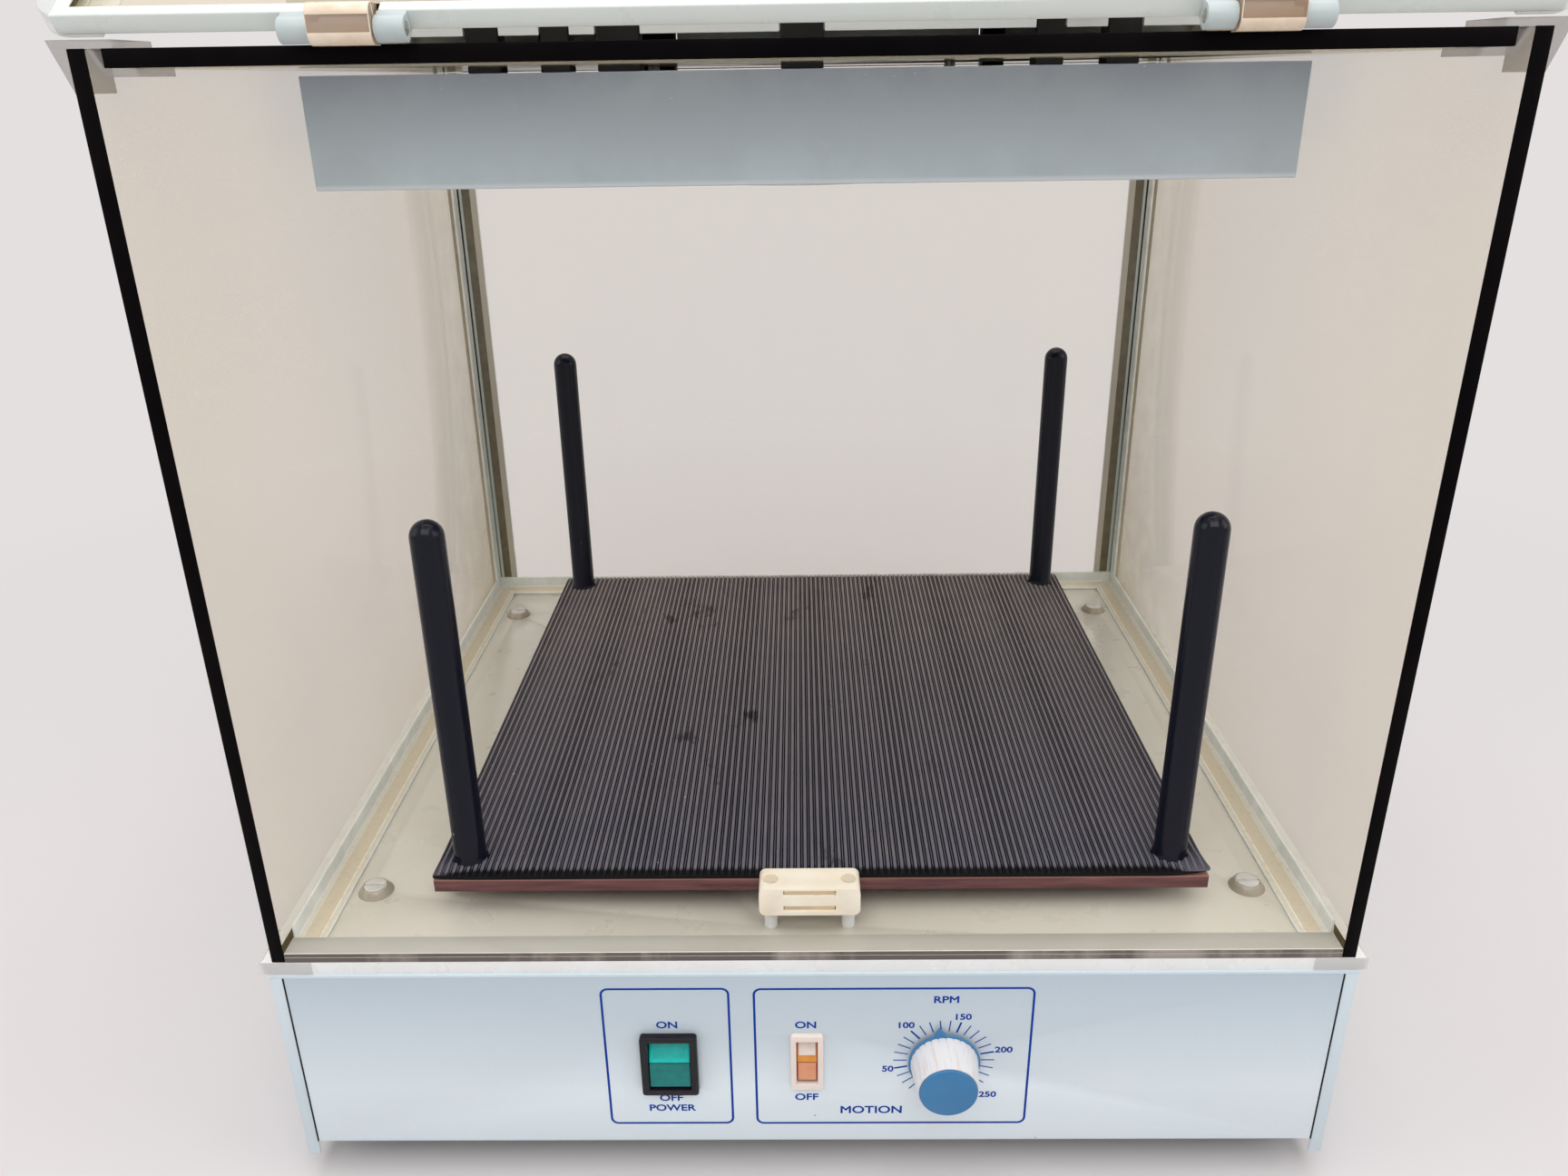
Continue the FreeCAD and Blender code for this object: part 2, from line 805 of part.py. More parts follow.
def thermostat_z():
    return chassis_top_z + thermostat_size / 2 + fit_gap


def thermostat():
    face_y = -heater_half_depth + case_sheet + fit_gap
    z = thermostat_z()
    half = thermostat_size / 2
    body = box(temp_knob_x - half, temp_knob_x + half, face_y, face_y + thermostat_depth,
               chassis_top_z, chassis_top_z + thermostat_size)
    bore_end_y = face_y + spindle_reach + running_gap
    return body.cut(rod_y(spindle + 2 * bearing_gap, face_y, bore_end_y, temp_knob_x, z))


def temperature_knob():
    z = thermostat_z()
    face = -heater_half_depth - knob_stand_off
    front = face - temp_knob_depth
    body = rod_y(temp_knob_diameter, front, face, temp_knob_x, z)
    rib = box(temp_knob_x - temp_knob_rib / 2, temp_knob_x + temp_knob_rib / 2, front - temp_knob_rib_rise,
              front, z, z + temp_knob_diameter / 2)
    inside = -heater_half_depth + case_sheet + fit_gap + spindle_reach
    stem = rod_y(spindle, face, inside, temp_knob_x, z)
    return fuse([body, rib, stem])


def door_buffers():
    """Two wedges on the top box, which the open door leans on."""
    low = top_box_top_z + buffer_height
    high = low + buffer_depth * math.tan(door_lean)
    back = buffer_y + buffer_depth
    profile = [(buffer_y, top_box_top_z), (back, top_box_top_z), (back, high), (buffer_y, low)]
    half = buffer_width / 2
    return group([prism_x(profile, x - half, x + half) for x in (-buffer_x, buffer_x)])


# Hinges on the hood
def hinge_saddles():
    saddles = []
    for side in (-1, 1):
        x0 = side * hinge_centre_x - saddle_width / 2
        x1 = side * hinge_centre_x + saddle_width / 2
        back = hood_front_y - panel_gap
        low = hinge_z - saddle_low
        high = hinge_z + saddle_high
        knuckle = box(x0, x1, hinge_y - saddle_reach / 2, back, low, high)
        edges = [e for e in knuckle.Edges
                 if e.BoundBox.YMax < hinge_y and e.BoundBox.XLength > saddle_width / 2]
        knuckle = knuckle.makeFillet(saddle_round, edges)
        upper = box(x0, x1, back, hood_front_y + panel_gap, hood_top_z, high)
        plate = box(x0, x1, hood_front_y, hood_front_y + saddle_plate_length,
                    hood_top_z, hood_top_z + saddle_plate)
        saddle = fuse([knuckle, upper, plate])
        saddles.append(saddle.cut(rod_x(hinge_pin + 2 * bearing_gap, x0, x1, hinge_y, hinge_z)))
    return group(saddles)


def hinge_pins():
    half = saddle_width / 2 + knuckle_gap + knuckle_width
    return group([rod_x(hinge_pin, x - half, x + half, hinge_y, hinge_z)
                  for x in (-hinge_centre_x, hinge_centre_x)])


# Door, drawn closed and then swung open
def door_notches():
    half = saddle_width / 2 + notch_gap
    return fuse([box(x - half, x + half, door_outer_y, door_inner_y, door_top_z - notch_depth, door_top_z)
                 for x in (-hinge_centre_x, hinge_centre_x)])


def door_trim():
    outer = box(-door_half_width, door_half_width, door_outer_y, door_inner_y, door_bottom_z, door_top_z)
    window = box(-door_half_width + door_lip, door_half_width - door_lip, door_outer_y, door_inner_y,
                 door_bottom_z + door_lip, door_top_z - door_lip)
    half_slot = door_panel_thickness / 2 + panel_gap
    slot = box(-door_half_width + door_web, door_half_width - door_web, hinge_y - half_slot,
               hinge_y + half_slot, door_bottom_z + door_web, door_top_z - door_web)
    return opened(outer.cut(window).cut(slot).cut(door_notches()))


def door_panel():
    inset = door_web + panel_gap
    half = door_panel_thickness / 2
    sheet = box(-door_half_width + inset, door_half_width - inset, hinge_y - half, hinge_y + half,
                door_bottom_z + inset, door_top_z - inset)
    return opened(sheet.cut(door_notches()))


def door_corners():
    ears = []
    x1 = door_half_width + door_corner_ear
    slab = box(-door_half_width, door_half_width, door_outer_y, door_inner_y, door_bottom_z, door_top_z)
    for outer_z, inner_z in ((door_top_z, door_top_z - door_corner_size),
                             (door_bottom_z, door_bottom_z + door_corner_size)):
        low_z, high_z = sorted((outer_z, inner_z))
        block = box(x1 - door_corner_size, x1, door_outer_y - door_corner_face, door_inner_y, low_z, high_z)
        edges = [e for e in block.Edges
                 if abs(e.CenterOfMass.x - x1) < door_corner_face
                 and abs(e.CenterOfMass.z - outer_z) < door_corner_face]
        ear = block.makeFillet(door_corner_round, edges).cut(slab)
        ears += [ear, mirrored_x(ear)]
    return group([opened(ear) for ear in ears])


def door_knuckles():
    knuckles = []
    for side in (-1, 1):
        for end in (-1, 1):
            near = side * hinge_centre_x + end * (saddle_width / 2 + knuckle_gap)
            far = near + end * knuckle_width
            x0, x1 = sorted((near, far))
            barrel = rod_x(2 * knuckle_radius, x0, x1, hinge_y, hinge_z)
            neck = box(x0, x1, door_outer_y, door_inner_y, door_top_z, hinge_z)
            bore = rod_x(hinge_pin + 2 * bearing_gap, x0, x1, hinge_y, hinge_z)
            knuckles.append(opened(barrel.fuse(neck).removeSplitter().cut(bore)))
    return group(knuckles)


def strike_bracket():
    """A folded steel bracket on the door that meets the poles of the catch."""
    face_y = catch_front_y - strike_gap
    panel_y = hinge_y + door_panel_thickness / 2
    half = catch_width / 2
    face = box(-half, half, face_y - strike_sheet, face_y, catch_z, catch_top_z)
    upper = box(-half, half, panel_y, face_y, catch_top_z - strike_sheet, catch_top_z)
    lower = box(-half, half, panel_y, face_y, catch_z, catch_z + strike_sheet)
    foot = box(-half, half, panel_y, panel_y + strike_sheet, catch_top_z - strike_sheet,
               catch_top_z + strike_foot)
    return opened(fuse([face, upper, lower, foot]))


# Magnetic catch
def catch_slots(depth):
    middle = (catch_z + catch_top_z) / 2 + catch_slot_rise
    return [box(-catch_slot_width / 2, catch_slot_width / 2, catch_front_y, catch_front_y + depth,
                middle + side * catch_slot_offset - catch_slot_height / 2,
                middle + side * catch_slot_offset + catch_slot_height / 2) for side in (-1, 1)]


def catch_body():
    middle = (catch_z + catch_top_z) / 2
    body = plate_xz(0, middle, catch_width, catch_height, catch_front_y, catch_back_y, catch_round)
    for slot in catch_slots(catch_slot_depth):
        body = body.cut(slot)
    for x in (-catch_screw_pitch / 2, catch_screw_pitch / 2):
        body = body.cut(rod_z(catch_bore, catch_top_z - catch_bore_depth, catch_top_z, x, catch_y))
        body = body.cut(rod_z(screw_shank + 2 * fit_gap, catch_z, catch_top_z, x, catch_y))
    return body


def catch_poles():
    middle = (catch_z + catch_top_z) / 2 + catch_slot_rise
    poles = []
    for side in (-1, 1):
        z = middle + side * catch_slot_offset
        half = catch_slot_height / 2 - pole_gap
        poles.append(box(-catch_slot_width / 2 + pole_gap, catch_slot_width / 2 - pole_gap,
                         catch_front_y + pole_recess, catch_front_y + catch_slot_depth, z - half, z + half))
    return group(poles)


def catch_standoffs():
    return group([tube_z(catch_post, screw_shank + 2 * fit_gap, floor_z, catch_z, x, catch_y)
                  for x in (-catch_screw_pitch / 2, catch_screw_pitch / 2)])


def catch_screws():
    seat_z = catch_top_z - catch_bore_depth
    screws = []
    for x in (-catch_screw_pitch / 2, catch_screw_pitch / 2):
        head = rod_z(catch_bore - 2 * fit_gap, seat_z, seat_z + screw_head_height, x, catch_y)
        shank = rod_z(screw_shank, frame_top_z, seat_z, x, catch_y)
        screws.append(fuse([head, shank]))
    return group(screws)


# Orbital drive
def main_spigot():
    return shaft_diameter + 2 * spigot_wall


def idler_spigot():
    return idler_shaft + 2 * idler_spigot_wall


def idler_places():
    places = []
    for i in range(idler_count):
        angle = math.radians(idler_first_deg + 360.0 / idler_count * i)
        places.append((idler_radius * math.cos(angle), idler_radius * math.sin(angle)))
    return places


def bearing_housing():
    outer = shaft_diameter + 2 * housing_wall
    body = rod_z(outer, deck_under_z - housing_drop, deck_under_z)
    flange = rod_z(outer + 2 * housing_flange, deck_under_z - flange_thickness, deck_under_z)
    spigot = rod_z(main_spigot(), deck_under_z, disc_z - running_gap)
    bore = rod_z(shaft_diameter + 2 * bearing_gap, deck_under_z - housing_drop, disc_z)
    return fuse([body, flange, spigot]).cut(bore)


def idler_housings():
    housings = []
    for x, y in idler_places():
        outer = idler_shaft + 2 * idler_wall
        body = rod_z(outer, deck_under_z - idler_drop, deck_under_z, x, y)
        flange = rod_z(outer + 2 * idler_flange, deck_under_z - flange_thickness, deck_under_z, x, y)
        spigot = rod_z(idler_spigot(), deck_under_z, disc_z - running_gap, x, y)
        bore = rod_z(idler_shaft + 2 * bearing_gap, deck_under_z - idler_drop, disc_z, x, y)
        housings.append(fuse([body, flange, spigot]).cut(bore))
    return group(housings)


def crank(x, y, shaft, pin, disc, bottom_z):
    post = rod_z(shaft, bottom_z, disc_z, x, y)
    plate = rod_z(disc, disc_z, disc_top_z, x, y)
    stud = rod_z(pin, disc_top_z, board_z - running_gap, x + throw_x, y + throw_y)
    return fuse([post, plate, stud])


def drive_crank():
    """Main shaft with its throw, pulley and balance weight."""
    body = crank(0, 0, shaft_diameter, crank_pin, crank_disc, pulley_z)
    web_z = pulley_z + (pulley_width - pulley_web) / 2
    rim = tube_z(pulley_diameter, pulley_diameter - 2 * pulley_rim, pulley_z, pulley_top_z)
    web = rod_z(pulley_diameter - pulley_rim, web_z, web_z + pulley_web)
    weight = rod_z(2 * counterweight_radius, pulley_z - counterweight_height, pulley_z)
    half = box(-counterweight_radius, 0, -counterweight_radius, counterweight_radius,
               pulley_z - counterweight_height, pulley_z)
    half.rotate(Vector(0, 0, 0), Vector(0, 0, 1), crank_rest_deg)
    boss = rod_z(pulley_boss, pulley_z - counterweight_height, pulley_top_z)
    return fuse([body, rim, web, boss, weight.common(half)])


def idler_cranks():
    bottom_z = deck_under_z - idler_drop
    return [crank(x, y, idler_shaft, idler_pin, idler_disc, bottom_z) for x, y in idler_places()]


def platform_bearings():
    hubs = [tube_z(crank_pin + 2 * hub_wall, crank_pin + 2 * bearing_gap, hub_z, board_z, throw_x, throw_y)]
    for x, y in idler_places():
        hubs.append(tube_z(idler_pin + 2 * hub_wall, idler_pin + 2 * bearing_gap, hub_z, board_z,
                           x + throw_x, y + throw_y))
    return group(hubs)


def motor_pulley():
    wheel = rod_z(small_pulley_diameter, pulley_z, pulley_top_z, motor_x, motor_y)
    shaft = rod_z(motor_shaft, pulley_top_z, motor_z() + motor_bore_depth, motor_x, motor_y)
    return fuse([wheel, shaft])


def motor_z():
    return deck_under_z - flange_thickness - motor_height


def drive_motor():
    body = rod_z(motor_diameter, motor_z(), deck_under_z - flange_thickness, motor_x, motor_y)
    flange = box(motor_x - motor_flange / 2, motor_x + motor_flange / 2, motor_y - motor_flange / 2,
                 motor_y + motor_flange / 2, deck_under_z - flange_thickness, deck_under_z)
    bore = rod_z(motor_shaft + 2 * bearing_gap, motor_z(), motor_z() + motor_bore_depth + running_gap,
                 motor_x, motor_y)
    return fuse([body, flange]).cut(bore)


def belt_loop(large_radius, small_radius, z0, z1):
    """The area inside an open belt round the two pulleys."""
    distance = math.hypot(motor_x, motor_y)
    heading = math.degrees(math.atan2(motor_y, motor_x))
    lift = math.acos((large_radius - small_radius) / distance)
    cosine, sine = math.cos(lift), math.sin(lift)
    points = [(large_radius * cosine, large_radius * sine),
              (distance + small_radius * cosine, small_radius * sine),
              (distance + small_radius * cosine, -small_radius * sine),
              (large_radius * cosine, -large_radius * sine)]
    wire = Part.makePolygon([Vector(x, y, z0) for x, y in points + points[:1]])
    middle = Part.Face(wire).extrude(Vector(0, 0, z1 - z0))
    loop = fuse([middle, rod_z(2 * large_radius, z0, z1), rod_z(2 * small_radius, z0, z1, distance, 0)])
    loop.rotate(Vector(0, 0, 0), Vector(0, 0, 1), heading)
    return loop


def drive_belt():
    z0 = pulley_z + (pulley_width - belt_width) / 2
    z1 = z0 + belt_width
    large = pulley_diameter / 2 + belt_gap
    small = small_pulley_diameter / 2 + belt_gap
    outside = belt_loop(large + belt_thickness, small + belt_thickness, z0, z1)
    return outside.cut(belt_loop(large, small, z0, z1))


# Platform
def platform_corner_places():
    half = post_pitch / 2
    return [(x + throw_x, y + throw_y) for x, y in four(half, half)]


def platform_board():
    half = platform_size / 2
    board = box(throw_x - half, throw_x + half, throw_y - half, throw_y + half, board_z, board_top_z)
    for x, y in platform_corner_places():
        board = board.cut(rod_z(post_thread + 2 * fit_gap, board_z, board_top_z, x, y))
    return board


def platform_mat():
    half = platform_size / 2
    base = box(throw_x - half, throw_x + half, throw_y - half, throw_y + half, board_top_z,
               board_top_z + mat_base)
    count = int(platform_size / rib_pitch)
    first = throw_x - rib_pitch * (count - 1) / 2
    ribs = []
    for i in range(count):
        x = first + rib_pitch * i
        ribs.append(box(x - rib_width / 2, x + rib_width / 2, throw_y - half + rib_hem, throw_y + half,
                        board_top_z, mat_top_z))
    mat = base.fuse(ribs)
    for x, y in platform_corner_places():
        mat = mat.cut(rod_z(post_diameter + 2 * (post_collar_width + fit_gap), board_top_z, mat_top_z, x, y))
    return mat


def platform_posts():
    posts = []
    radius = post_diameter / 2
    for x, y in platform_corner_places():
        top = board_top_z + post_height
        body = rod_z(post_diameter, board_top_z, top - radius, x, y)
        dome = Part.makeSphere(radius, Vector(x, y, top - radius))
        collar = Part.makeCone(radius + post_collar_width, radius, mat_base + mat_rib + post_collar,
                               Vector(x, y, board_top_z))
        stud = rod_z(post_thread, board_z - post_nut_height, board_top_z, x, y)
        posts.append(fuse([body, dome, collar, stud]))
    return group(posts)


def post_nuts():
    nuts = []
    for x, y in platform_corner_places():
        corner = post_nut_across / 2 / math.cos(math.pi / 6)
        points = [Vector(x + corner * math.cos(math.pi / 3 * i), y + corner * math.sin(math.pi / 3 * i),
                         board_z - post_nut_height) for i in range(7)]
        nut = Part.Face(Part.makePolygon(points)).extrude(Vector(0, 0, post_nut_height))
        nuts.append(nut.cut(rod_z(post_thread, board_z - post_nut_height, board_z, x, y)))
    return group(nuts)


# Controls on the fascia
def switch_housing(x, z, bezel_width, bezel_height, bezel_depth, body_width, body_height, body_depth,
                   rocker_width, rocker_height):
    bezel = plate_xz(x, z, bezel_width, bezel_height, front_y - bezel_depth, front_y, bezel_round)
    body = box(x - body_width / 2, x + body_width / 2, front_y, front_y + body_depth,
               z - body_height / 2, z + body_height / 2)
    half_width = rocker_width / 2 + rocker_gap
    half_height = rocker_height / 2 + rocker_gap
    well_front = front_y - bezel_depth
    well_back = well_front + rocker_pivot_sink + rocker_body + rocker_height * rocker_well_share
    well = box(x - half_width, x + half_width, well_front, well_back, z - half_height, z + half_height)
    return bezel.fuse(body).removeSplitter().cut(well)


def rocker(x, z, bezel_depth, width, height):
    """A ridged rocker, top end pressed in, turning about the middle of its length."""
    face_y = front_y - bezel_depth + rocker_sink
    pivot_y = front_y - bezel_depth + rocker_pivot_sink
    ridge = math.tan(math.radians(rocker_ridge_deg))
    half = height / 2 * rocker_length_share
    back_half = half * rocker_back_share
    end_y = face_y + half * ridge
    profile = [(face_y, z), (end_y, z + half), (pivot_y, z + back_half),
               (pivot_y + rocker_body, z), (pivot_y, z - back_half), (end_y, z - half)]
    body = prism_x(profile, x - width / 2 + rocker_gap, x + width / 2 - rocker_gap)
    return turned(body, x, pivot_y, z, Vector(1, 0, 0), -rocker_swing_deg)


def mains_switch_housing():
    return switch_housing(mains_x, mains_z, mains_bezel_width, mains_bezel_height, mains_bezel_depth,
                          mains_body_width, mains_body_height, mains_body_depth,
                          mains_rocker_width, mains_rocker_height)


def shaker_switch_housing():
    return switch_housing(shaker_x, shaker_z, shaker_bezel_width, shaker_bezel_height, shaker_bezel_depth,
                          shaker_body_width, shaker_body_height, shaker_body_depth,
                          shaker_rocker_width, shaker_rocker_height)


def mains_rocker():
    return rocker(mains_x, mains_z, mains_bezel_depth, mains_rocker_width, mains_rocker_height)


def shaker_rocker():
    return rocker(shaker_x, shaker_z, shaker_bezel_depth, shaker_rocker_width, shaker_rocker_height)


def knob_face_y():
    return front_y - knob_stand_off - pot_nut_thick


def speed_knob():
    back = knob_face_y()
    front = back - knob_ring_depth - knob_depth
    body = Part.makeCone(knob_end_diameter / 2, knob_diameter / 2, knob_depth, Vector(dial_x, front, dial_z),
                         Vector(0, 1, 0))
    for i in range(knob_flutes):
        angle = 2 * math.pi / knob_flutes * i
        radius = knob_diameter / 2 + knob_flute_offset
        groove = rod_y(knob_flute, front, back - knob_ring_depth, dial_x + radius * math.cos(angle),
                       dial_z + radius * math.sin(angle))
        body = body.cut(groove)
    body = body.cut(rod_y(knob_cap_diameter + 2 * panel_gap, front, front + knob_cap_sink, dial_x, dial_z))
    stem = rod_y(spindle, back - knob_ring_depth, front_y + case_sheet + spindle_reach, dial_x, dial_z)
    return fuse([body, stem])


def speed_knob_ring():
    back = knob_face_y()
    ring = rod_y(knob_ring, back - knob_ring_depth, back, dial_x, dial_z)
    reach = knob_ring / 2 + knob_pointer
    points = [Vector(dial_x - knob_pointer_width / 2, back, dial_z + knob_ring / 2 - knob_ring_depth),
              Vector(dial_x + knob_pointer_width / 2, back, dial_z + knob_ring / 2 - knob_ring_depth),
              Vector(dial_x, back, dial_z + reach)]
    pointer = Part.Face(Part.makePolygon(points + points[:1])).extrude(Vector(0, -knob_ring_depth, 0))
    pointer = turned(pointer, dial_x, 0, dial_z, Vector(0, 1, 0), knob_pointer_deg)
    bore = rod_y(spindle, back - knob_ring_depth, back, dial_x, dial_z)
    return ring.fuse(pointer).removeSplitter().cut(bore)


def speed_knob_cap():
    seat = knob_face_y() - knob_ring_depth - knob_depth + knob_cap_sink
    return rod_y(knob_cap_diameter, seat - knob_cap_depth, seat, dial_x, dial_z)


def potentiometer():
    bush = rod_y(pot_bush, front_y - pot_nut_thick, front_y + case_sheet, dial_x, dial_z)
    body = rod_y(pot_diameter, front_y + case_sheet, front_y + case_sheet + pot_depth, dial_x, dial_z)
    nut = rod_y(pot_nut, front_y - pot_nut_thick, front_y, dial_x, dial_z)
    bore = rod_y(spindle + 2 * bearing_gap, front_y - pot_nut_thick,
                 front_y + case_sheet + spindle_reach + running_gap, dial_x, dial_z)
    return fuse([bush, body, nut]).cut(bore)


# Rear and inside
def mains_inlet():
    flange = plate_xz(inlet_x, inlet_z, inlet_flange_width, inlet_flange_height, rear_y,
                      rear_y + inlet_flange_thick, bezel_round)
    body = box(inlet_x - inlet_body_width / 2, inlet_x + inlet_body_width / 2, rear_y - inlet_body_depth,
               rear_y, inlet_z - inlet_body_height / 2, inlet_z + inlet_body_height / 2)
    mouth_y = rear_y + inlet_flange_thick
    recess = box(inlet_x - inlet_recess_width / 2, inlet_x + inlet_recess_width / 2,
                 mouth_y - inlet_recess_depth, mouth_y,
                 inlet_z - inlet_recess_height / 2, inlet_z + inlet_recess_height / 2)
    shape = fuse([flange, body]).cut(recess)
    pins = []
    for i in (-1, 0, 1):
        x = inlet_x + inlet_pin_pitch * i
        pins.append(box(x - inlet_pin_width / 2, x + inlet_pin_width / 2, mouth_y - inlet_recess_depth,
                        mouth_y - inlet_recess_depth + inlet_pin_length,
                        inlet_z + inlet_pin_rise, inlet_z + inlet_pin_rise + inlet_pin_height))
    return fuse([shape] + pins)


def control_board():
    top = bottom_plate_z + case_sheet
    board_under = top + pcb_stand
    x0, x1 = pcb_x - pcb_width / 2, pcb_x + pcb_width / 2
    y0, y1 = pcb_y - pcb_depth / 2, pcb_y + pcb_depth / 2
    board = box(x0, x1, y0, y1, board_under, board_under + pcb_thick)
    parts = [board]
    for x in (x0 + pcb_margin, x1 - pcb_margin):
        for y in (y0 + pcb_margin, y1 - pcb_margin):
            parts.append(rod_z(pcb_post, top, board_under, x, y))
    chip_z = board_under + pcb_thick
    for i in (-1, 0, 1):
        x = pcb_x + i * chip_pitch
        parts.append(box(x - chip_width / 2, x + chip_width / 2, pcb_y - chip_depth / 2,
                         pcb_y + chip_depth / 2, chip_z, chip_z + chip_height))
    return fuse(parts)


def frame_shift():
    """How far the export moves along Y: the knob's cap is foremost, the inlet's flange rearmost."""
    cap_front = knob_face_y() - knob_ring_depth - knob_depth + knob_cap_sink - knob_cap_depth
    return -(cap_front + rear_y + inlet_flange_thick) / 2


def export(name, shape):
    moved = shape.copy()
    moved.translate(Vector(0, frame_shift(), 0))
    moved.exportStep("parts/" + name + ".step")


os.makedirs("parts", exist_ok=True)
single_parts = {
    "side_skirts": side_skirts(),
    "front_fascia": front_fascia(),
    "rear_panel": rear_panel(),
    "bottom_plate": bottom_plate(),
    "deck_plate": deck_plate(),
    "feet": feet(),
    "floor_base": floor_base(),
    "chamber_floor": chamber_floor(),
    "cup_washers": cup_washers(),
    "case_screws": group([foot_screws(), floor_screws(), catch_screws()]),
    "left_panel": mirrored_x(side_panel()),
    "right_panel": side_panel(),
    "back_panel": back_panel(),
    "top_panel": top_panel(),
    "corner_angles": corner_angles(),
    "corner_clips": corner_clips(),
    "hood_spacers": hood_spacers(),
    "heater_cover": heater_cover(),
    "heater_element": heater_element(),
    "fan_guard": fan_guard(),
    "fan_rotor": fan_rotor(),
    "fan_motor": fan_motor(),
    "top_box": top_box(),
    "top_box_chassis": top_box_chassis(),
    "thermostat": thermostat(),
    "temperature_knob": temperature_knob(),
    "door_buffers": door_buffers(),
    "hinge_saddles": hinge_saddles(),
    "hinge_pins": hinge_pins(),
    "door_trim": door_trim(),
    "door_panel": door_panel(),
    "door_corners": door_corners(),
    "door_knuckles": door_knuckles(),
    "strike_bracket": strike_bracket(),
    "catch_body": catch_body(),
    "catch_poles": catch_poles(),
    "catch_standoffs": catch_standoffs(),
    "bearing_housing": bearing_housing(),
    "idler_housings": idler_housings(),
    "drive_crank": drive_crank(),
    "platform_bearings": platform_bearings(),
    "motor_pulley": motor_pulley(),
    "drive_motor": drive_motor(),
    "drive_belt": drive_belt(),
    "platform_board": platform_board(),
    "platform_mat": platform_mat(),
    "platform_posts": platform_posts(),
    "post_nuts": post_nuts(),
    "mains_switch_housing": mains_switch_housing(),
    "shaker_switch_housing": shaker_switch_housing(),
    "mains_rocker": mains_rocker(),
    "shaker_rocker": shaker_rocker(),
    "speed_knob": speed_knob(),
    "speed_knob_trim": group([speed_knob_ring(), speed_knob_cap()]),
    "potentiometer": potentiometer(),
    "mains_inlet": mains_inlet(),
    "control_board": control_board(),
}
for part_name, part_shape in single_parts.items():
    export(part_name, part_shape)
for number, idler in enumerate(idler_cranks(), start=1):
    export("idler_crank_" + str(number), idler)
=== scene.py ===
import json
import math

import bmesh
import bpy
from mathutils import Matrix, Vector


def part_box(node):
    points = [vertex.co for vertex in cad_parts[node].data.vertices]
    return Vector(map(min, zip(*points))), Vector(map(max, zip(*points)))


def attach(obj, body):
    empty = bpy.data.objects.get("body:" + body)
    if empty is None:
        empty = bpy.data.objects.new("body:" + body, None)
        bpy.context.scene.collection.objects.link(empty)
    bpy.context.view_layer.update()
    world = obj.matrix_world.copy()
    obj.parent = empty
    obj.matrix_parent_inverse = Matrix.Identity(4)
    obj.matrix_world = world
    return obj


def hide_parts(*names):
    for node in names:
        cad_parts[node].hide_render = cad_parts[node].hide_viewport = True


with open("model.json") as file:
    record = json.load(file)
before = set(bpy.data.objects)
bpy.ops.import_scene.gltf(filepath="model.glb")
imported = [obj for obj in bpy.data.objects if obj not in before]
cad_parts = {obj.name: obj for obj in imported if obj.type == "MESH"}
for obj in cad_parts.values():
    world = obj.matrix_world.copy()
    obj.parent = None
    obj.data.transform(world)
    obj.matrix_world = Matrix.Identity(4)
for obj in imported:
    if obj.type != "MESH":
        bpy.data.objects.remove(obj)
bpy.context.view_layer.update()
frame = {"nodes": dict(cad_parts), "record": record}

nodes = frame["nodes"]


def tone(red, green, blue):
    """Linear colour of a colour as it reads on a screen, from 0 to 255."""
    def linear(value):
        value /= 255
        return value / 12.92 if value <= 0.04045 else ((value + 0.055) / 1.055) ** 2.4
    return (linear(red), linear(green), linear(blue), 1.0)


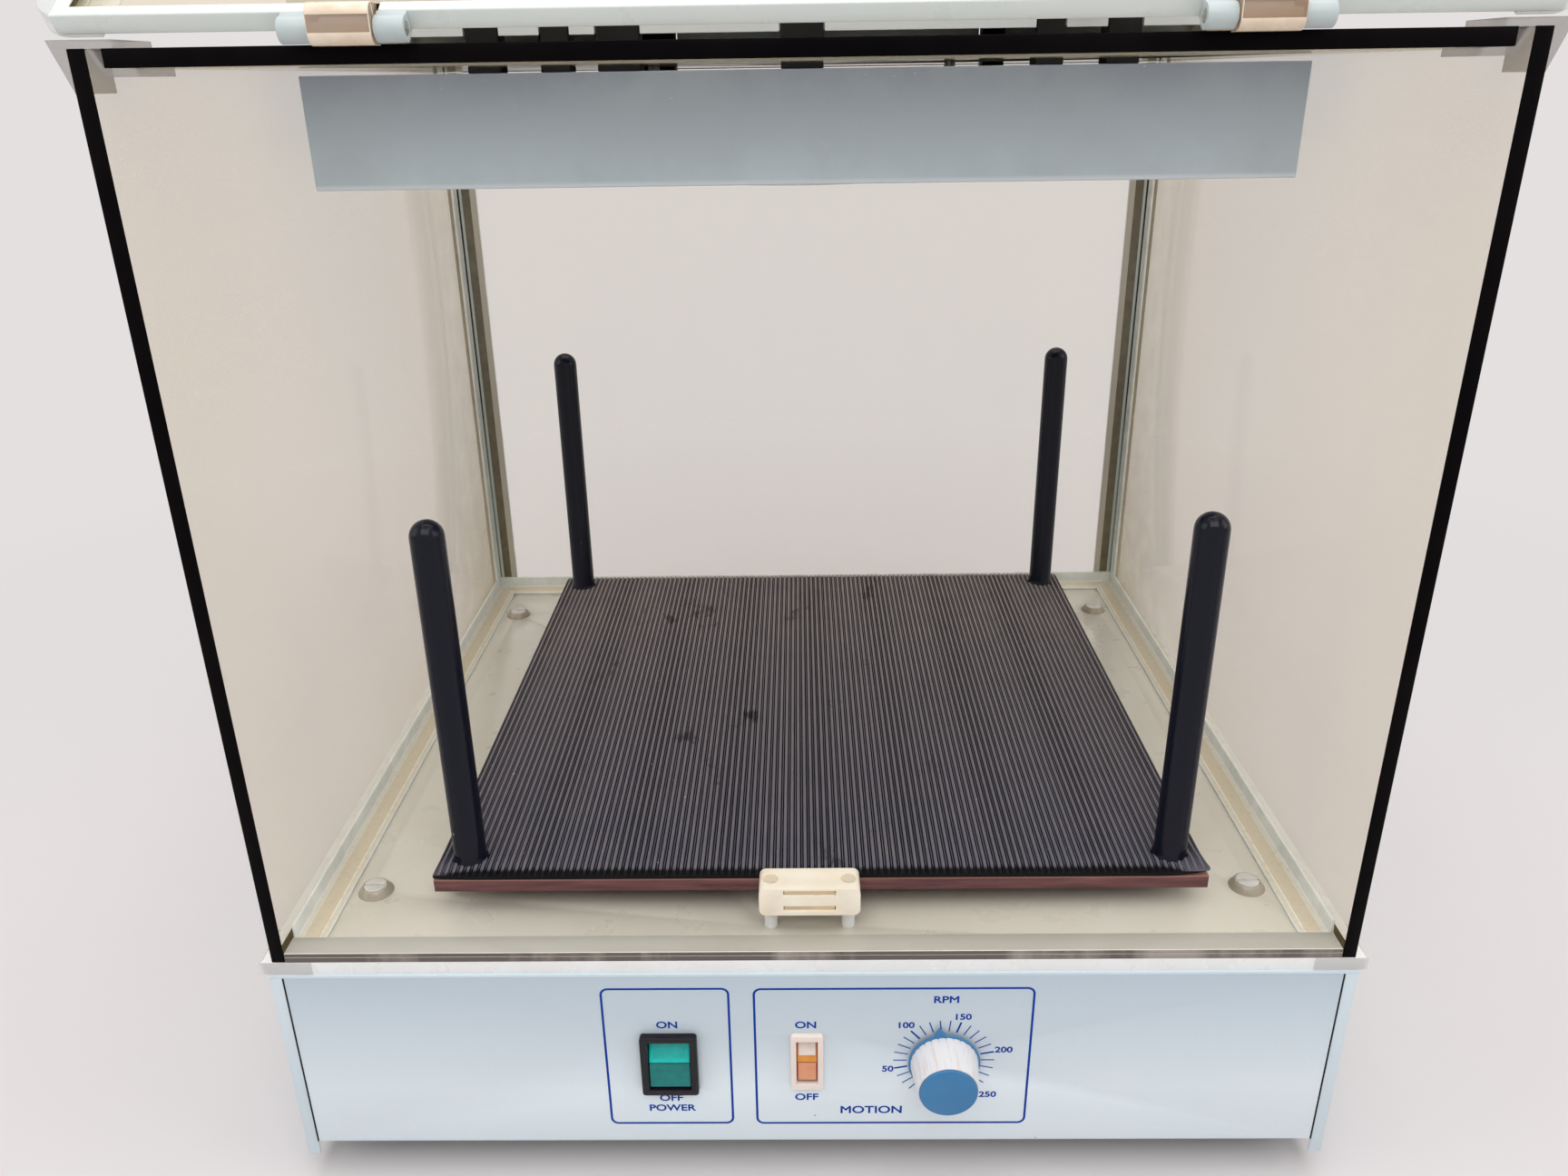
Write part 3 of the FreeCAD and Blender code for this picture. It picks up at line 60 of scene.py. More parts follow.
# Finishes
class Finish:
    """A material of nodes around one Principled shader, read in Object coordinates."""

    def __init__(self, name, colour, rough, metal=0.0, specular=0.5, coat=0.0, coat_rough=0.05, alpha=1.0):
        self.material = bpy.data.materials.new(name)
        self.material.use_nodes = True
        self.tree = self.material.node_tree
        self.shader = self.tree.nodes["Principled BSDF"]
        values = {"Base Color": colour, "Roughness": rough, "Metallic": metal,
                  "Specular IOR Level": specular, "Coat Weight": coat,
                  "Coat Roughness": coat_rough, "Alpha": alpha}
        for socket, value in values.items():
            self.shader.inputs[socket].default_value = value
        self.place = self.add("ShaderNodeTexCoord").outputs["Object"]
        self.normal = None

    def add(self, kind, **settings):
        node = self.tree.nodes.new(kind)
        for key, value in settings.items():
            setattr(node, key, value)
        return node

    def link(self, source, socket):
        self.tree.links.new(source, socket)

    def noise(self, size, detail=4.0, rough=0.55, stretch=(1, 1, 1)):
        """Fractal noise whose blobs are about this many metres across."""
        scaled = self.add("ShaderNodeMapping")
        scaled.inputs["Scale"].default_value = stretch
        self.link(self.place, scaled.inputs["Vector"])
        node = self.add("ShaderNodeTexNoise")
        node.inputs["Scale"].default_value = 1.0 / size
        node.inputs["Detail"].default_value = detail
        node.inputs["Roughness"].default_value = rough
        self.link(scaled.outputs["Vector"], node.inputs["Vector"])
        return node.outputs["Fac"]

    def cells(self, size, stretch=(1, 1, 1)):
        """Distance to the nearest of scattered points about this far apart."""
        scaled = self.add("ShaderNodeMapping")
        scaled.inputs["Scale"].default_value = stretch
        self.link(self.place, scaled.inputs["Vector"])
        node = self.add("ShaderNodeTexVoronoi")
        node.inputs["Scale"].default_value = 1.0 / size
        self.link(scaled.outputs["Vector"], node.inputs["Vector"])
        return node.outputs["Distance"]

    def axis(self, letter, low, high):
        """Runs from 0 to 1 between two places along X, Y or Z."""
        return self.span(self.along(letter), low, high)

    def span(self, value, low, high, start=0.0, end=1.0):
        node = self.add("ShaderNodeMapRange")
        node.inputs["From Min"].default_value = low
        node.inputs["From Max"].default_value = high
        node.inputs["To Min"].default_value = start
        node.inputs["To Max"].default_value = end
        self.link(value, node.inputs["Value"])
        return node.outputs["Result"]

    def maths(self, operation, first, second):
        node = self.add("ShaderNodeMath", operation=operation)
        for socket, value in zip(node.inputs, (first, second)):
            if isinstance(value, (int, float)):
                socket.default_value = value
            else:
                self.link(value, socket)
        return node.outputs["Value"]

    def blend(self, share, first, second):
        """Mixes two colours, each a plain colour or a socket."""
        node = self.add("ShaderNodeMix", data_type="RGBA")
        self.link(share, node.inputs["Factor"])
        for socket, value in ((node.inputs[6], first), (node.inputs[7], second)):
            if isinstance(value, tuple):
                socket.default_value = value
            else:
                self.link(value, socket)
        return node.outputs[2]

    def bands(self, value, stops):
        """Plain bands of colour along a value, each from its own start on."""
        node = self.add("ShaderNodeValToRGB")
        ramp = node.color_ramp
        ramp.interpolation = "CONSTANT"
        for i, (start, colour) in enumerate(stops):
            element = ramp.elements[i] if i < 2 else ramp.elements.new(start)
            element.position = start
            element.color = colour
        self.link(value, node.inputs["Fac"])
        return node.outputs["Color"]

    def along(self, letter):
        parts = self.add("ShaderNodeSeparateXYZ")
        self.link(self.place, parts.inputs["Vector"])
        return parts.outputs[letter]

    def colour(self, source):
        self.link(source, self.shader.inputs["Base Color"])

    def roughness(self, source):
        self.link(source, self.shader.inputs["Roughness"])

    def bump(self, height, depth, strength=1.0):
        """Adds relief this many metres deep."""
        node = self.add("ShaderNodeBump")
        node.inputs["Distance"].default_value = depth
        node.inputs["Strength"].default_value = strength
        self.link(height, node.inputs["Height"])
        if self.normal:
            self.link(self.normal, node.inputs["Normal"])
        self.normal = node.outputs["Normal"]
        self.link(self.normal, self.shader.inputs["Normal"])


def painted(name, colour, warm, rough=0.42, speck=0.0, peel=0.00006, shaded_top=None):
    """Sprayed enamel on sheet steel, with orange peel, blotches and specks. shaded_top is the tone of a
    painted shade that deepens upwards over the upper two thirds of the front panel.
    """
    finish = Finish(name, colour, rough, specular=0.4)
    blotches = finish.span(finish.noise(0.09, 5.0), 0.35, 0.7)
    mixed = finish.blend(blotches, colour, warm)
    if shaded_top:
        low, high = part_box("front_fascia")
        # Painted shade, deepening upwards under the overhanging white base.
        mixed = finish.blend(finish.axis("Z", (2 * low.z + high.z) / 3, high.z), mixed, shaded_top)
    if speck:
        dirt = finish.span(finish.cells(0.021), 0.02, 0.028, speck, 0.0)
        mixed = finish.blend(dirt, mixed, tone(120, 112, 104))
    finish.colour(mixed)
    finish.roughness(finish.span(finish.noise(0.03), 0.3, 0.7, rough - 0.06, rough + 0.08))
    finish.bump(finish.noise(0.0022, 2.0), peel)
    return finish.material


def moulded(name, colour, second, rough=0.4, grain=0.0011, relief=0.00003, specular=0.45, patch=0.02):
    """Moulded plastic or rubber: slightly mottled, with a fine grain."""
    finish = Finish(name, colour, rough, specular=specular)
    finish.colour(finish.blend(finish.span(finish.noise(patch, 4.0), 0.3, 0.7), colour, second))
    finish.roughness(finish.span(finish.noise(0.012), 0.3, 0.7, rough - 0.05, rough + 0.1))
    finish.bump(finish.noise(grain, 2.0), relief)
    return finish.material


def metal(name, colour, second, rough=0.3, brush=(1, 1, 1), relief=0.00001):
    """Bare or plated metal with fine tool marks along one axis."""
    finish = Finish(name, colour, rough, metal=1.0)
    finish.colour(finish.blend(finish.span(finish.noise(0.018, 5.0), 0.3, 0.7), colour, second))
    marks = finish.noise(0.004, 3.0, stretch=brush)
    finish.roughness(finish.span(marks, 0.3, 0.7, rough - 0.08, rough + 0.1))
    finish.bump(finish.noise(0.0012, 3.0, stretch=brush), relief)
    return finish.material


def sheet_plastic(name, colour, alpha, rough=0.06, haze=0.15, specular=0.6):
    """See-through plastic, a little hazy and dusty, which gains body at a grazing view, like glass."""
    finish = Finish(name, colour, rough, specular=specular, alpha=alpha)
    lighter = tuple(c + (1 - c) * haze for c in colour[:3]) + (1.0,)
    finish.colour(finish.blend(finish.span(finish.noise(0.12, 5.0), 0.4, 0.75), colour, lighter))
    finish.roughness(finish.span(finish.noise(0.02, 4.0), 0.35, 0.7, rough, rough + 0.06))
    facing = finish.add("ShaderNodeLayerWeight")
    facing.inputs["Blend"].default_value = 0.5
    grazing = finish.maths("POWER", facing.outputs["Facing"], 5.0)
    finish.link(finish.span(grazing, 0.0, 1.0, alpha, 1.0), finish.shader.inputs["Alpha"])
    return finish.material


# The front panel's enamel darkens upwards with a painted shade.
CASE = painted("case_enamel", tone(223, 236, 243), tone(225, 235, 241), speck=0.55, shaded_top=tone(182, 197, 208))
CASE_SIDE = painted("case_side_enamel", tone(205, 220, 228), tone(210, 222, 229), speck=0.4)
TOP_BOX = painted("top_box_enamel", tone(196, 206, 212), tone(204, 208, 210), speck=0.3)
ZINC = metal("zinc_plate", tone(176, 178, 176), tone(160, 160, 152), 0.36)
BRIGHT = metal("bright_plate", tone(205, 204, 200), tone(188, 186, 180), 0.22)
HEAD = moulded("dull_nickel", tone(214, 212, 206), tone(196, 193, 186), 0.34, patch=0.004, specular=0.8)
MACHINED = metal("turned_steel", tone(190, 190, 188), tone(172, 172, 170), 0.28, brush=(1, 1, 14))
ALLOY = metal("cast_alloy", tone(196, 198, 200), tone(180, 182, 184), 0.42)
BRASS = moulded("pole_plate", tone(226, 205, 165), tone(206, 184, 142), 0.34, patch=0.006, specular=0.7)
RUBBER = moulded("black_rubber", tone(18, 18, 19), tone(26, 26, 26), 0.62, specular=0.15)
DARK = moulded("dark_plastic", tone(16, 16, 22), tone(24, 23, 30), 0.3, specular=0.3)
CREAM = moulded("cream_plastic", tone(247, 241, 224), tone(240, 228, 206), 0.36, relief=0.00001)
BEZEL = moulded("white_bezel", tone(240, 228, 220), tone(235, 222, 212), 0.32, relief=0.00001)
WHITE = moulded("white_plastic", tone(238, 240, 240), tone(232, 234, 232), 0.26, relief=0.00001)
AQUA = moulded("aqua_plastic", tone(218, 228, 223), tone(224, 231, 227), 0.3, relief=0.00001, patch=0.05)
KNUCKLE = moulded("aqua_grey_plastic", tone(184, 197, 198), tone(192, 203, 203), 0.32, relief=0.00001)
KNOB_BLUE = moulded("blue_cap", tone(52, 118, 168), tone(60, 126, 174), 0.46, grain=0.0006)
BOARD_GREEN = moulded("board_green", tone(34, 92, 62), tone(44, 104, 70), 0.4)
PRINT = moulded("printed_blue", tone(8, 56, 150), tone(14, 64, 158), 0.5, relief=0.000005, specular=0.08,
                patch=0.004)
TINTED = sheet_plastic("tinted_acrylic", tone(224, 200, 132), 0.115, haze=0.06)
TINTED_EDGE = moulded("tinted_edge", tone(5, 4, 6), tone(13, 10, 11), 0.4, grain=0.002, specular=0.03,
                      patch=0.03)
SMOKE = sheet_plastic("smoky_clip", tone(168, 162, 156), 0.45, 0.12)
FROST = sheet_plastic("frosted_cap", tone(240, 240, 238), 0.5, 0.16)
EAR = sheet_plastic("glassy_corner", tone(234, 238, 236), 0.45, 0.08)
CUP = sheet_plastic("beige_cup", tone(205, 192, 168), 0.55, 0.16)
PALE = moulded("pale_strip", tone(238, 240, 234), tone(216, 220, 212), 0.2, relief=0.00001, patch=0.012)
SADDLE = sheet_plastic("brown_saddle", tone(176, 148, 122), 0.6, 0.16, haze=0.35)
SADDLE_RIM = moulded("cream_rim", tone(240, 226, 206), tone(226, 206, 180), 0.24, patch=0.006)


def grey_enamel():
    """Blue-grey enamel of the heater box, with painted light: paler low down where bounce light falls and
    darker higher up, pale scuffs, and a painted highlight along its lower edge.
    """
    low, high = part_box("heater_cover")
    finish = Finish("heater_enamel", tone(140, 152, 158), 0.36, specular=0.4)
    # Painted light and shade: pale blue low down from bounce light, darker grey higher up.
    painted_light_rise = finish.axis("Z", low.z, high.z)
    mixed = finish.blend(painted_light_rise, tone(188, 203, 210), tone(130, 138, 147))
    patches = finish.span(finish.noise(0.05, 5.0), 0.42, 0.75, 0.0, 0.6)
    mixed = finish.blend(patches, mixed, tone(160, 170, 176))
    scuffs = finish.span(finish.noise(0.007, 2.0, stretch=(1, 1, 2.5)), 0.74, 0.78, 0.0, 0.5)
    mixed = finish.blend(scuffs, mixed, tone(182, 190, 194))
    # Painted highlight along the rounded lower edge.
    lower_edge_highlight = finish.axis("Z", low.z + 0.0024, low.z + 0.0010)
    finish.colour(finish.blend(lower_edge_highlight, mixed, tone(205, 214, 220)))
    finish.roughness(finish.span(finish.noise(0.03), 0.3, 0.7, 0.3, 0.46))
    finish.bump(finish.noise(0.0022, 2.0), 0.00006)
    return finish.material


def olive_sheet():
    """The chamber floor: olive acrylic over white board, glossy, a little dusty."""
    finish = Finish("floor_acrylic", tone(214, 211, 200), 0.3, specular=0.4, coat=0.7, coat_rough=0.1)
    clouds = finish.span(finish.noise(0.07, 5.0), 0.35, 0.72)
    mixed = finish.blend(clouds, tone(214, 211, 198), tone(208, 203, 187))
    dust = finish.span(finish.cells(0.013), 0.03, 0.045, 0.5, 0.0)
    mixed = finish.blend(dust, mixed, tone(226, 222, 210))
    scratch = finish.span(finish.noise(0.0035, 2.0, stretch=(1, 0.2, 1)), 0.76, 0.79)
    patch = finish.span(finish.noise(0.05), 0.6, 0.68, 0.0, 0.3)
    finish.colour(finish.blend(finish.maths("MULTIPLY", scratch, patch), mixed, tone(232, 228, 216)))
    finish.roughness(finish.span(finish.noise(0.02), 0.3, 0.7, 0.24, 0.4))
    return finish.material


def floor_edge():
    """Sawn edge of the floor sheet, grey-brown with lighter patches."""
    finish = Finish("floor_sheet_edge", tone(110, 102, 96), 0.4, specular=0.3)
    patches = finish.span(finish.noise(0.03, 5.0, stretch=(1, 1, 0.3)), 0.5, 0.66)
    finish.colour(finish.blend(patches, tone(100, 92, 88), tone(160, 151, 144)))
    finish.bump(finish.noise(0.002, 3.0), 0.00008)
    return finish.material


def mat_rubber():
    """Ribbed rubber: grey rib tops, grooves in painted shade, worn black patches and white dust."""
    low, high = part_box("platform_mat")
    finish = Finish("ribbed_rubber", tone(84, 80, 82), 0.66, specular=0.2)
    height = finish.axis("Z", high.z - 0.0009, high.z - 0.0005)
    along = finish.axis("Y", low.y, high.y)
    tops = finish.blend(along, tone(96, 96, 108), tone(140, 131, 128))
    faded = finish.span(finish.noise(0.02, 5.0), 0.35, 0.7, 0.0, 0.6)
    tops = finish.blend(faded, tops, tone(116, 110, 115))
    # Painted shade: the grooves below the rib tops are near black.
    tops = finish.blend(height, tone(4, 4, 7), tops)
    wear = finish.span(finish.noise(0.05, 6.0, 0.75, stretch=(1.6, 0.8, 1)), 0.6, 0.66, 0.0, 0.8)
    near = finish.maths("MULTIPLY", finish.axis("X", low.x + 0.02, low.x + 0.07),
                        finish.axis("X", high.x - 0.08, high.x - 0.14))
    wear = finish.maths("MULTIPLY", wear, near)
    tops = finish.blend(wear, tops, tone(28, 27, 31))
    dust = finish.span(finish.cells(0.011, stretch=(1, 0.8, 1)), 0.03, 0.05, 0.8, 0.0)
    sparse = finish.span(finish.noise(0.03), 0.48, 0.6)
    finish.colour(finish.blend(finish.maths("MULTIPLY", dust, sparse), tops, tone(206, 204, 200)))
    finish.roughness(finish.span(wear, 0.0, 0.8, 0.66, 0.44))
    finish.bump(finish.noise(0.0012, 3.0), 0.00008)
    return finish.material


def gloss_black():
    """Glossy black posts, with pale chips low down."""
    low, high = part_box("platform_posts")
    finish = Finish("post_gloss", tone(16, 18, 30), 0.14, specular=0.2)
    chips = finish.span(finish.cells(0.006, stretch=(1, 1, 0.6)), 0.06, 0.09, 1.0, 0.0)
    foot = finish.axis("Z", low.z + 0.06, low.z + 0.02)
    worn = finish.span(finish.noise(0.02), 0.5, 0.6)
    share = finish.maths("MULTIPLY", finish.maths("MULTIPLY", chips, foot), worn)
    finish.colour(finish.blend(share, tone(16, 18, 30), tone(170, 172, 178)))
    finish.roughness(finish.span(finish.noise(0.015), 0.3, 0.7, 0.1, 0.2))
    finish.bump(finish.noise(0.003, 3.0), 0.00003)
    return finish.material


def board_wood():
    """Stained hardwood ply, the grain running along the edge, with a painted highlight along its upper edge.
    """
    low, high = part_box("platform_board")
    finish = Finish("stained_wood", tone(100, 62, 58), 0.5, specular=0.3)
    grain = finish.noise(0.004, 6.0, 0.6, stretch=(0.12, 0.12, 1.4))
    mixed = finish.blend(finish.span(grain, 0.35, 0.68), tone(82, 51, 54), tone(122, 82, 82))
    mixed = finish.blend(finish.span(finish.noise(0.03), 0.45, 0.75), mixed, tone(106, 68, 68))
    # Painted highlight: a light line along the upper edge.
    arris_highlight = finish.axis("Z", high.z - 0.0008, high.z - 0.0002)
    finish.colour(finish.blend(arris_highlight, mixed, tone(152, 110, 96)))
    finish.bump(grain, 0.00012)
    return finish.material


def corner_strip():
    """Strip up a back corner, in bands from the wall inwards: black adhesive, then olive and pale plastic."""
    low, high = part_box("corner_angles")
    finish = Finish("corner_strip", tone(110, 105, 85), 0.24, specular=0.5)
    inward = finish.span(finish.maths("ABSOLUTE", finish.along("X"), 0.0), high.x, high.x - 0.0139)
    black = finish.blend(finish.axis("Z", 0.20, 0.27), tone(120, 140, 138), tone(14, 15, 15))
    mottle = finish.span(finish.noise(0.006, 5.0), 0.3, 0.7)
    olive = finish.blend(mottle, tone(98, 92, 72), tone(118, 110, 88))
    # The pure white band from 0.34 is a painted highlight line; the olive band covers it almost wholly.
    edges = [(0.0, tone(196, 204, 198)), (0.10, tone(0, 0, 0)), (0.22, tone(196, 203, 196)),
             (0.34, tone(255, 255, 255)), (0.72, tone(190, 184, 168)), (0.95, tone(170, 164, 148))]
    steps = finish.bands(inward, edges)
    in_black = finish.maths("MULTIPLY", finish.maths("GREATER_THAN", inward, 0.10),
                            finish.maths("LESS_THAN", inward, 0.22))
    in_olive = finish.maths("MULTIPLY", finish.maths("GREATER_THAN", inward, 0.34),
                            finish.maths("LESS_THAN", inward, 0.72))
    finish.colour(finish.blend(in_olive, finish.blend(in_black, steps, black), olive))
    return finish.material


def foot_strip():
    """Flat of an angle strip on the floor: brown adhesive shows through its middle, with streaks and a thin
    painted highlight line.
    """
    low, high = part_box("corner_angles")
    finish = Finish("foot_strip", tone(196, 186, 162), 0.2, specular=0.6)
    from_side = finish.maths("SUBTRACT", high.x, finish.maths("ABSOLUTE", finish.along("X"), 0.0))
    from_back = finish.maths("SUBTRACT", high.y, finish.along("Y"))
    inward = finish.span(finish.maths("MINIMUM", from_side, from_back), 0.0, 0.014)
    # The bright band from 0.78 to 0.82 is a painted highlight line.
    steps = finish.bands(inward, [(0.0, tone(222, 217, 202)), (0.30, tone(212, 201, 177)),
                                  (0.78, tone(240, 234, 218)), (0.82, tone(216, 210, 192))])
    streaks = finish.span(finish.noise(0.003, 4.0), 0.5, 0.72, 0.0, 0.5)
    finish.colour(finish.blend(streaks, steps, tone(200, 185, 158)))
    finish.bump(finish.noise(0.004, 3.0), 0.0001)
    return finish.material


def front_strip():
    """Flat strip along the front of the floor, greyish over the olive sheet."""
    finish = Finish("front_strip", tone(198, 194, 184), 0.2, specular=0.6, alpha=0.7)
    mixed = finish.blend(finish.span(finish.noise(0.05, 5.0, stretch=(0.3, 1, 1)), 0.35, 0.7),
                         tone(204, 200, 190), tone(188, 183, 172))
    finish.colour(mixed)
    return finish.material


def knob_white():
    """White skirt of the knob, with thin pinkish streaks of dirt in its flutes."""
    finish = Finish("knob_skirt_white", tone(222, 221, 223), 0.34, specular=0.3)
    streaks = finish.span(finish.noise(0.0016, 3.0, stretch=(1, 0.03, 1)), 0.52, 0.72, 0.0, 0.55)
    finish.colour(finish.blend(streaks, tone(224, 223, 225), tone(206, 188, 186)))
    return finish.material


def lens(name, colour, second, rib=0.0):
    """Clear coloured plastic of a lit rocker, with fine ribs on its inner face."""
    finish = Finish(name, colour, 0.16, specular=0.3, coat=0.15, coat_rough=0.1)
    mixed = finish.blend(finish.span(finish.noise(0.004, 4.0), 0.3, 0.7), colour, second)
    if rib:
        lines = finish.add("ShaderNodeTexWave", bands_direction="X")
        lines.inputs["Scale"].default_value = 1.0 / rib
        finish.link(finish.place, lines.inputs["Vector"])
        mixed = finish.blend(finish.span(lines.outputs["Fac"], 0.2, 0.8, 0.0, 0.35), mixed, second)
    finish.colour(mixed)
    return finish.material


HEATER = grey_enamel()
FLOOR_SHEET = olive_sheet()
FLOOR_EDGE = floor_edge()
MAT = mat_rubber()
POST = gloss_black()
WOOD = board_wood()
CORNER_STRIP = corner_strip()
FOOT_STRIP = foot_strip()
FRONT_STRIP = front_strip()
KNOB_WHITE = knob_white()


# Mesh helpers
BODY = {node: body for body, members in frame["record"]["behaviour"]["bodies"].items() for node in members}


def closed(bm):
    bmesh.ops.remove_doubles(bm, verts=bm.verts, dist=1e-6)
    bmesh.ops.recalc_face_normals(bm, faces=bm.faces)


def rounded(bm, edges, offset, segments=2):
    bmesh.ops.bevel(bm, geom=edges, offset=offset, offset_type="OFFSET", affect="EDGES",
                    segments=segments, profile=0.5, material=-1, clamp_overlap=True)


def piece(name, bm, body, materials, replaced=(), smooth=35):
    """Makes an object of a bmesh, shades it smooth by angle and lets it ride on a body."""
    mesh = bpy.data.meshes.new(name)
    bm.to_mesh(mesh)
    bm.free()
    for material in materials:
        mesh.materials.append(material)
    mesh.polygons.foreach_set("use_smooth", [True] * len(mesh.polygons))
    mesh.set_sharp_from_angle(angle=math.radians(smooth))
    made = bpy.data.objects.new(name, mesh)
    bpy.context.scene.collection.objects.link(made)
    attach(made, body)
    if replaced:
        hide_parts(*replaced)
    return made


def copied(node):
    """A closed copy of a CAD node's mesh, with flat faces made whole again."""
    bm = bmesh.new()
    bm.from_mesh(nodes[node].data)
    bmesh.ops.remove_doubles(bm, verts=bm.verts, dist=1e-5)
    bmesh.ops.dissolve_limit(bm, angle_limit=math.radians(0.6), verts=bm.verts, edges=bm.edges)
    return bm


def dressed(node, name, offset, materials, segments=2, sharp=35, paint=None):
    """Stands for a CAD node, with its sharp edges rounded. paint gives a face its finish."""
    bm = copied(node)
    edges = [e for e in bm.edges if len(e.link_faces) == 2 and e.calc_face_angle(0) > math.radians(sharp)]
    rounded(bm, edges, offset, segments)
    if paint:
        for face in bm.faces:
            face.material_index = paint(face)
    return piece(name, bm, BODY[node], materials, [node])


def wear(node, material):
    """Gives a CAD node that keeps its own shape a finish."""
    nodes[node].data.materials.clear()
    nodes[node].data.materials.append(material)


def cube(bm, low, high):
    """A closed block between two corners."""
    size = [b - a for a, b in zip(low, high)]
    middle = [(a + b) / 2 for a, b in zip(low, high)]
    place = Matrix.Translation(middle) @ Matrix.Diagonal((*size, 1))
    return bmesh.ops.create_cube(bm, size=1, matrix=place)["verts"]


# Case
dressed("side_skirts", "side_skirt_shells", 0.0005, [CASE_SIDE])
dressed("front_fascia", "fascia_shell", 0.0004, [CASE])
dressed("rear_panel", "rear_shell", 0.0003, [CASE_SIDE])
dressed("feet", "rubber_feet", 0.0012, [RUBBER], 3)
wear("bottom_plate", ZINC)
wear("deck_plate", CASE_SIDE)
dressed("case_screws", "screws_nickel", 0.0003, [HEAD])


def seam_shadow_strips():
    """Thin black strips in the seams between the front panel and the folded sides: painted shade for the dark
    gaps behind them.
    """
    low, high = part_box("front_fascia")
    seam, proud, deep = 0.0005, 0.00008, 0.0008
    bm = bmesh.new()
    for inner, outer in ((low.x, low.x - seam), (high.x, high.x + seam)):
        cube(bm, (min(inner, outer), low.y - proud, low.z), (max(inner, outer), low.y + deep, high.z))
    piece("seam_shadow_strips", bm, "base", [RUBBER])


seam_shadow_strips()

# Chamber floor
dressed("floor_base", "white_base", 0.0016, [WHITE], 4)


def sheet_paint(face):
    return 1 if abs(face.normal.z) < 0.5 else 0


dressed("chamber_floor", "olive_floor", 0.0003, [FLOOR_SHEET, FLOOR_EDGE], paint=sheet_paint)
dressed("cup_washers", "cup_washers_beige", 0.0003, [CUP])

# Hood


wide_face = 0.01      # square metres, less than the smallest see-through face of a sheet


def panel_paint(across):
    """The narrow sides of a sheet are dark, its two wide faces see-through."""
    def choose(face):
        return 0 if abs(face.normal[across]) > 0.5 and face.calc_area() > wide_face else 1
    return choose


for node, across in (("left_panel", 0), ("right_panel", 0), ("back_panel", 1), ("top_panel", 2)):
    dressed(node, node + "_acrylic", 0.0003, [TINTED, TINTED_EDGE], paint=panel_paint(across))


def angle_paint(face):
    """Flats on the floor and the back wall, the front strip and its edge, pale edges and upright flanges."""
    low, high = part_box("corner_angles")
    middle = face.calc_center_median()
    thickness, front_width, floor_height = 0.0035, 0.011, 0.02
    narrow = face.calc_area() < thickness * max(e.calc_length() for e in face.edges)
    if face.normal.y < -0.9 and middle.y < low.y + 0.0005:
        return 4
    if narrow:
        return 1
    if face.normal.z > 0.9:
        return 2 if middle.y < low.y + front_width else 0
    if face.normal.y < -0.9 and middle.z > low.z + floor_height:
        return 3
    return 1


dressed("corner_angles", "angle_strips", 0.0004,
        [FOOT_STRIP, PALE, FRONT_STRIP, CORNER_STRIP, FLOOR_EDGE], paint=angle_paint)


def clip_paint(face):
    """Smoky clips at the top of the hood, frosted caps at its foot."""
    return 0 if face.calc_center_median().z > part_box("heater_cover")[0].z else 1


dressed("corner_clips", "hood_corner_clips", 0.0005, [SMOKE, FROST], 3, paint=clip_paint)

# Heater and top box
dressed("heater_cover", "heater_shell", 0.0014, [HEATER], 4)
dressed("top_box", "top_box_shell", 0.0016, [TOP_BOX], 4)
dressed("temperature_knob", "temperature_dial", 0.0008, [DARK], 3)
dressed("hood_spacers", "rubber_blocks", 0.0004, [RUBBER])
dressed("door_buffers", "door_rests", 0.0006, [RUBBER])
wear("heater_element", ZINC)
wear("fan_guard", BRIGHT)
wear("fan_rotor", ALLOY)
wear("fan_motor", ZINC)
wear("top_box_chassis", ZINC)
wear("thermostat", DARK)

# Door and hinges
dressed("door_trim", "aqua_door_trim", 0.0008, [AQUA], 3)
dressed("door_panel", "door_acrylic", 0.0003, [TINTED, TINTED_EDGE],
        paint=lambda face: 0 if face.calc_area() > wide_face else 1)
dressed("door_corners", "door_corner_ears", 0.0008, [EAR], 3)
dressed("door_knuckles", "hinge_knuckles", 0.0006, [KNUCKLE], 3)


def saddle_paint(face):
    """Thick cream rims round brown see-through faces."""
    rim_area = 0.00005
    return 0 if face.calc_area() > rim_area else 1


dressed("hinge_saddles", "brown_saddles", 0.0010, [SADDLE, SADDLE_RIM], 3, paint=saddle_paint)
dressed("strike_bracket", "strike_plate", 0.0003, [ZINC])
wear("hinge_pins", BRIGHT)

# Catch
dressed("catch_body", "catch_block", 0.0008, [CREAM], 3)
dressed("catch_poles", "catch_pole_plates", 0.0001, [BRASS])
dressed("catch_standoffs", "catch_pillars", 0.0004, [WHITE])

# Platform
dressed("platform_board", "wood_board", 0.0003, [WOOD])
wear("post_nuts", BRIGHT)
dressed("platform_posts", "black_posts", 0.0004, [POST], sharp=50)


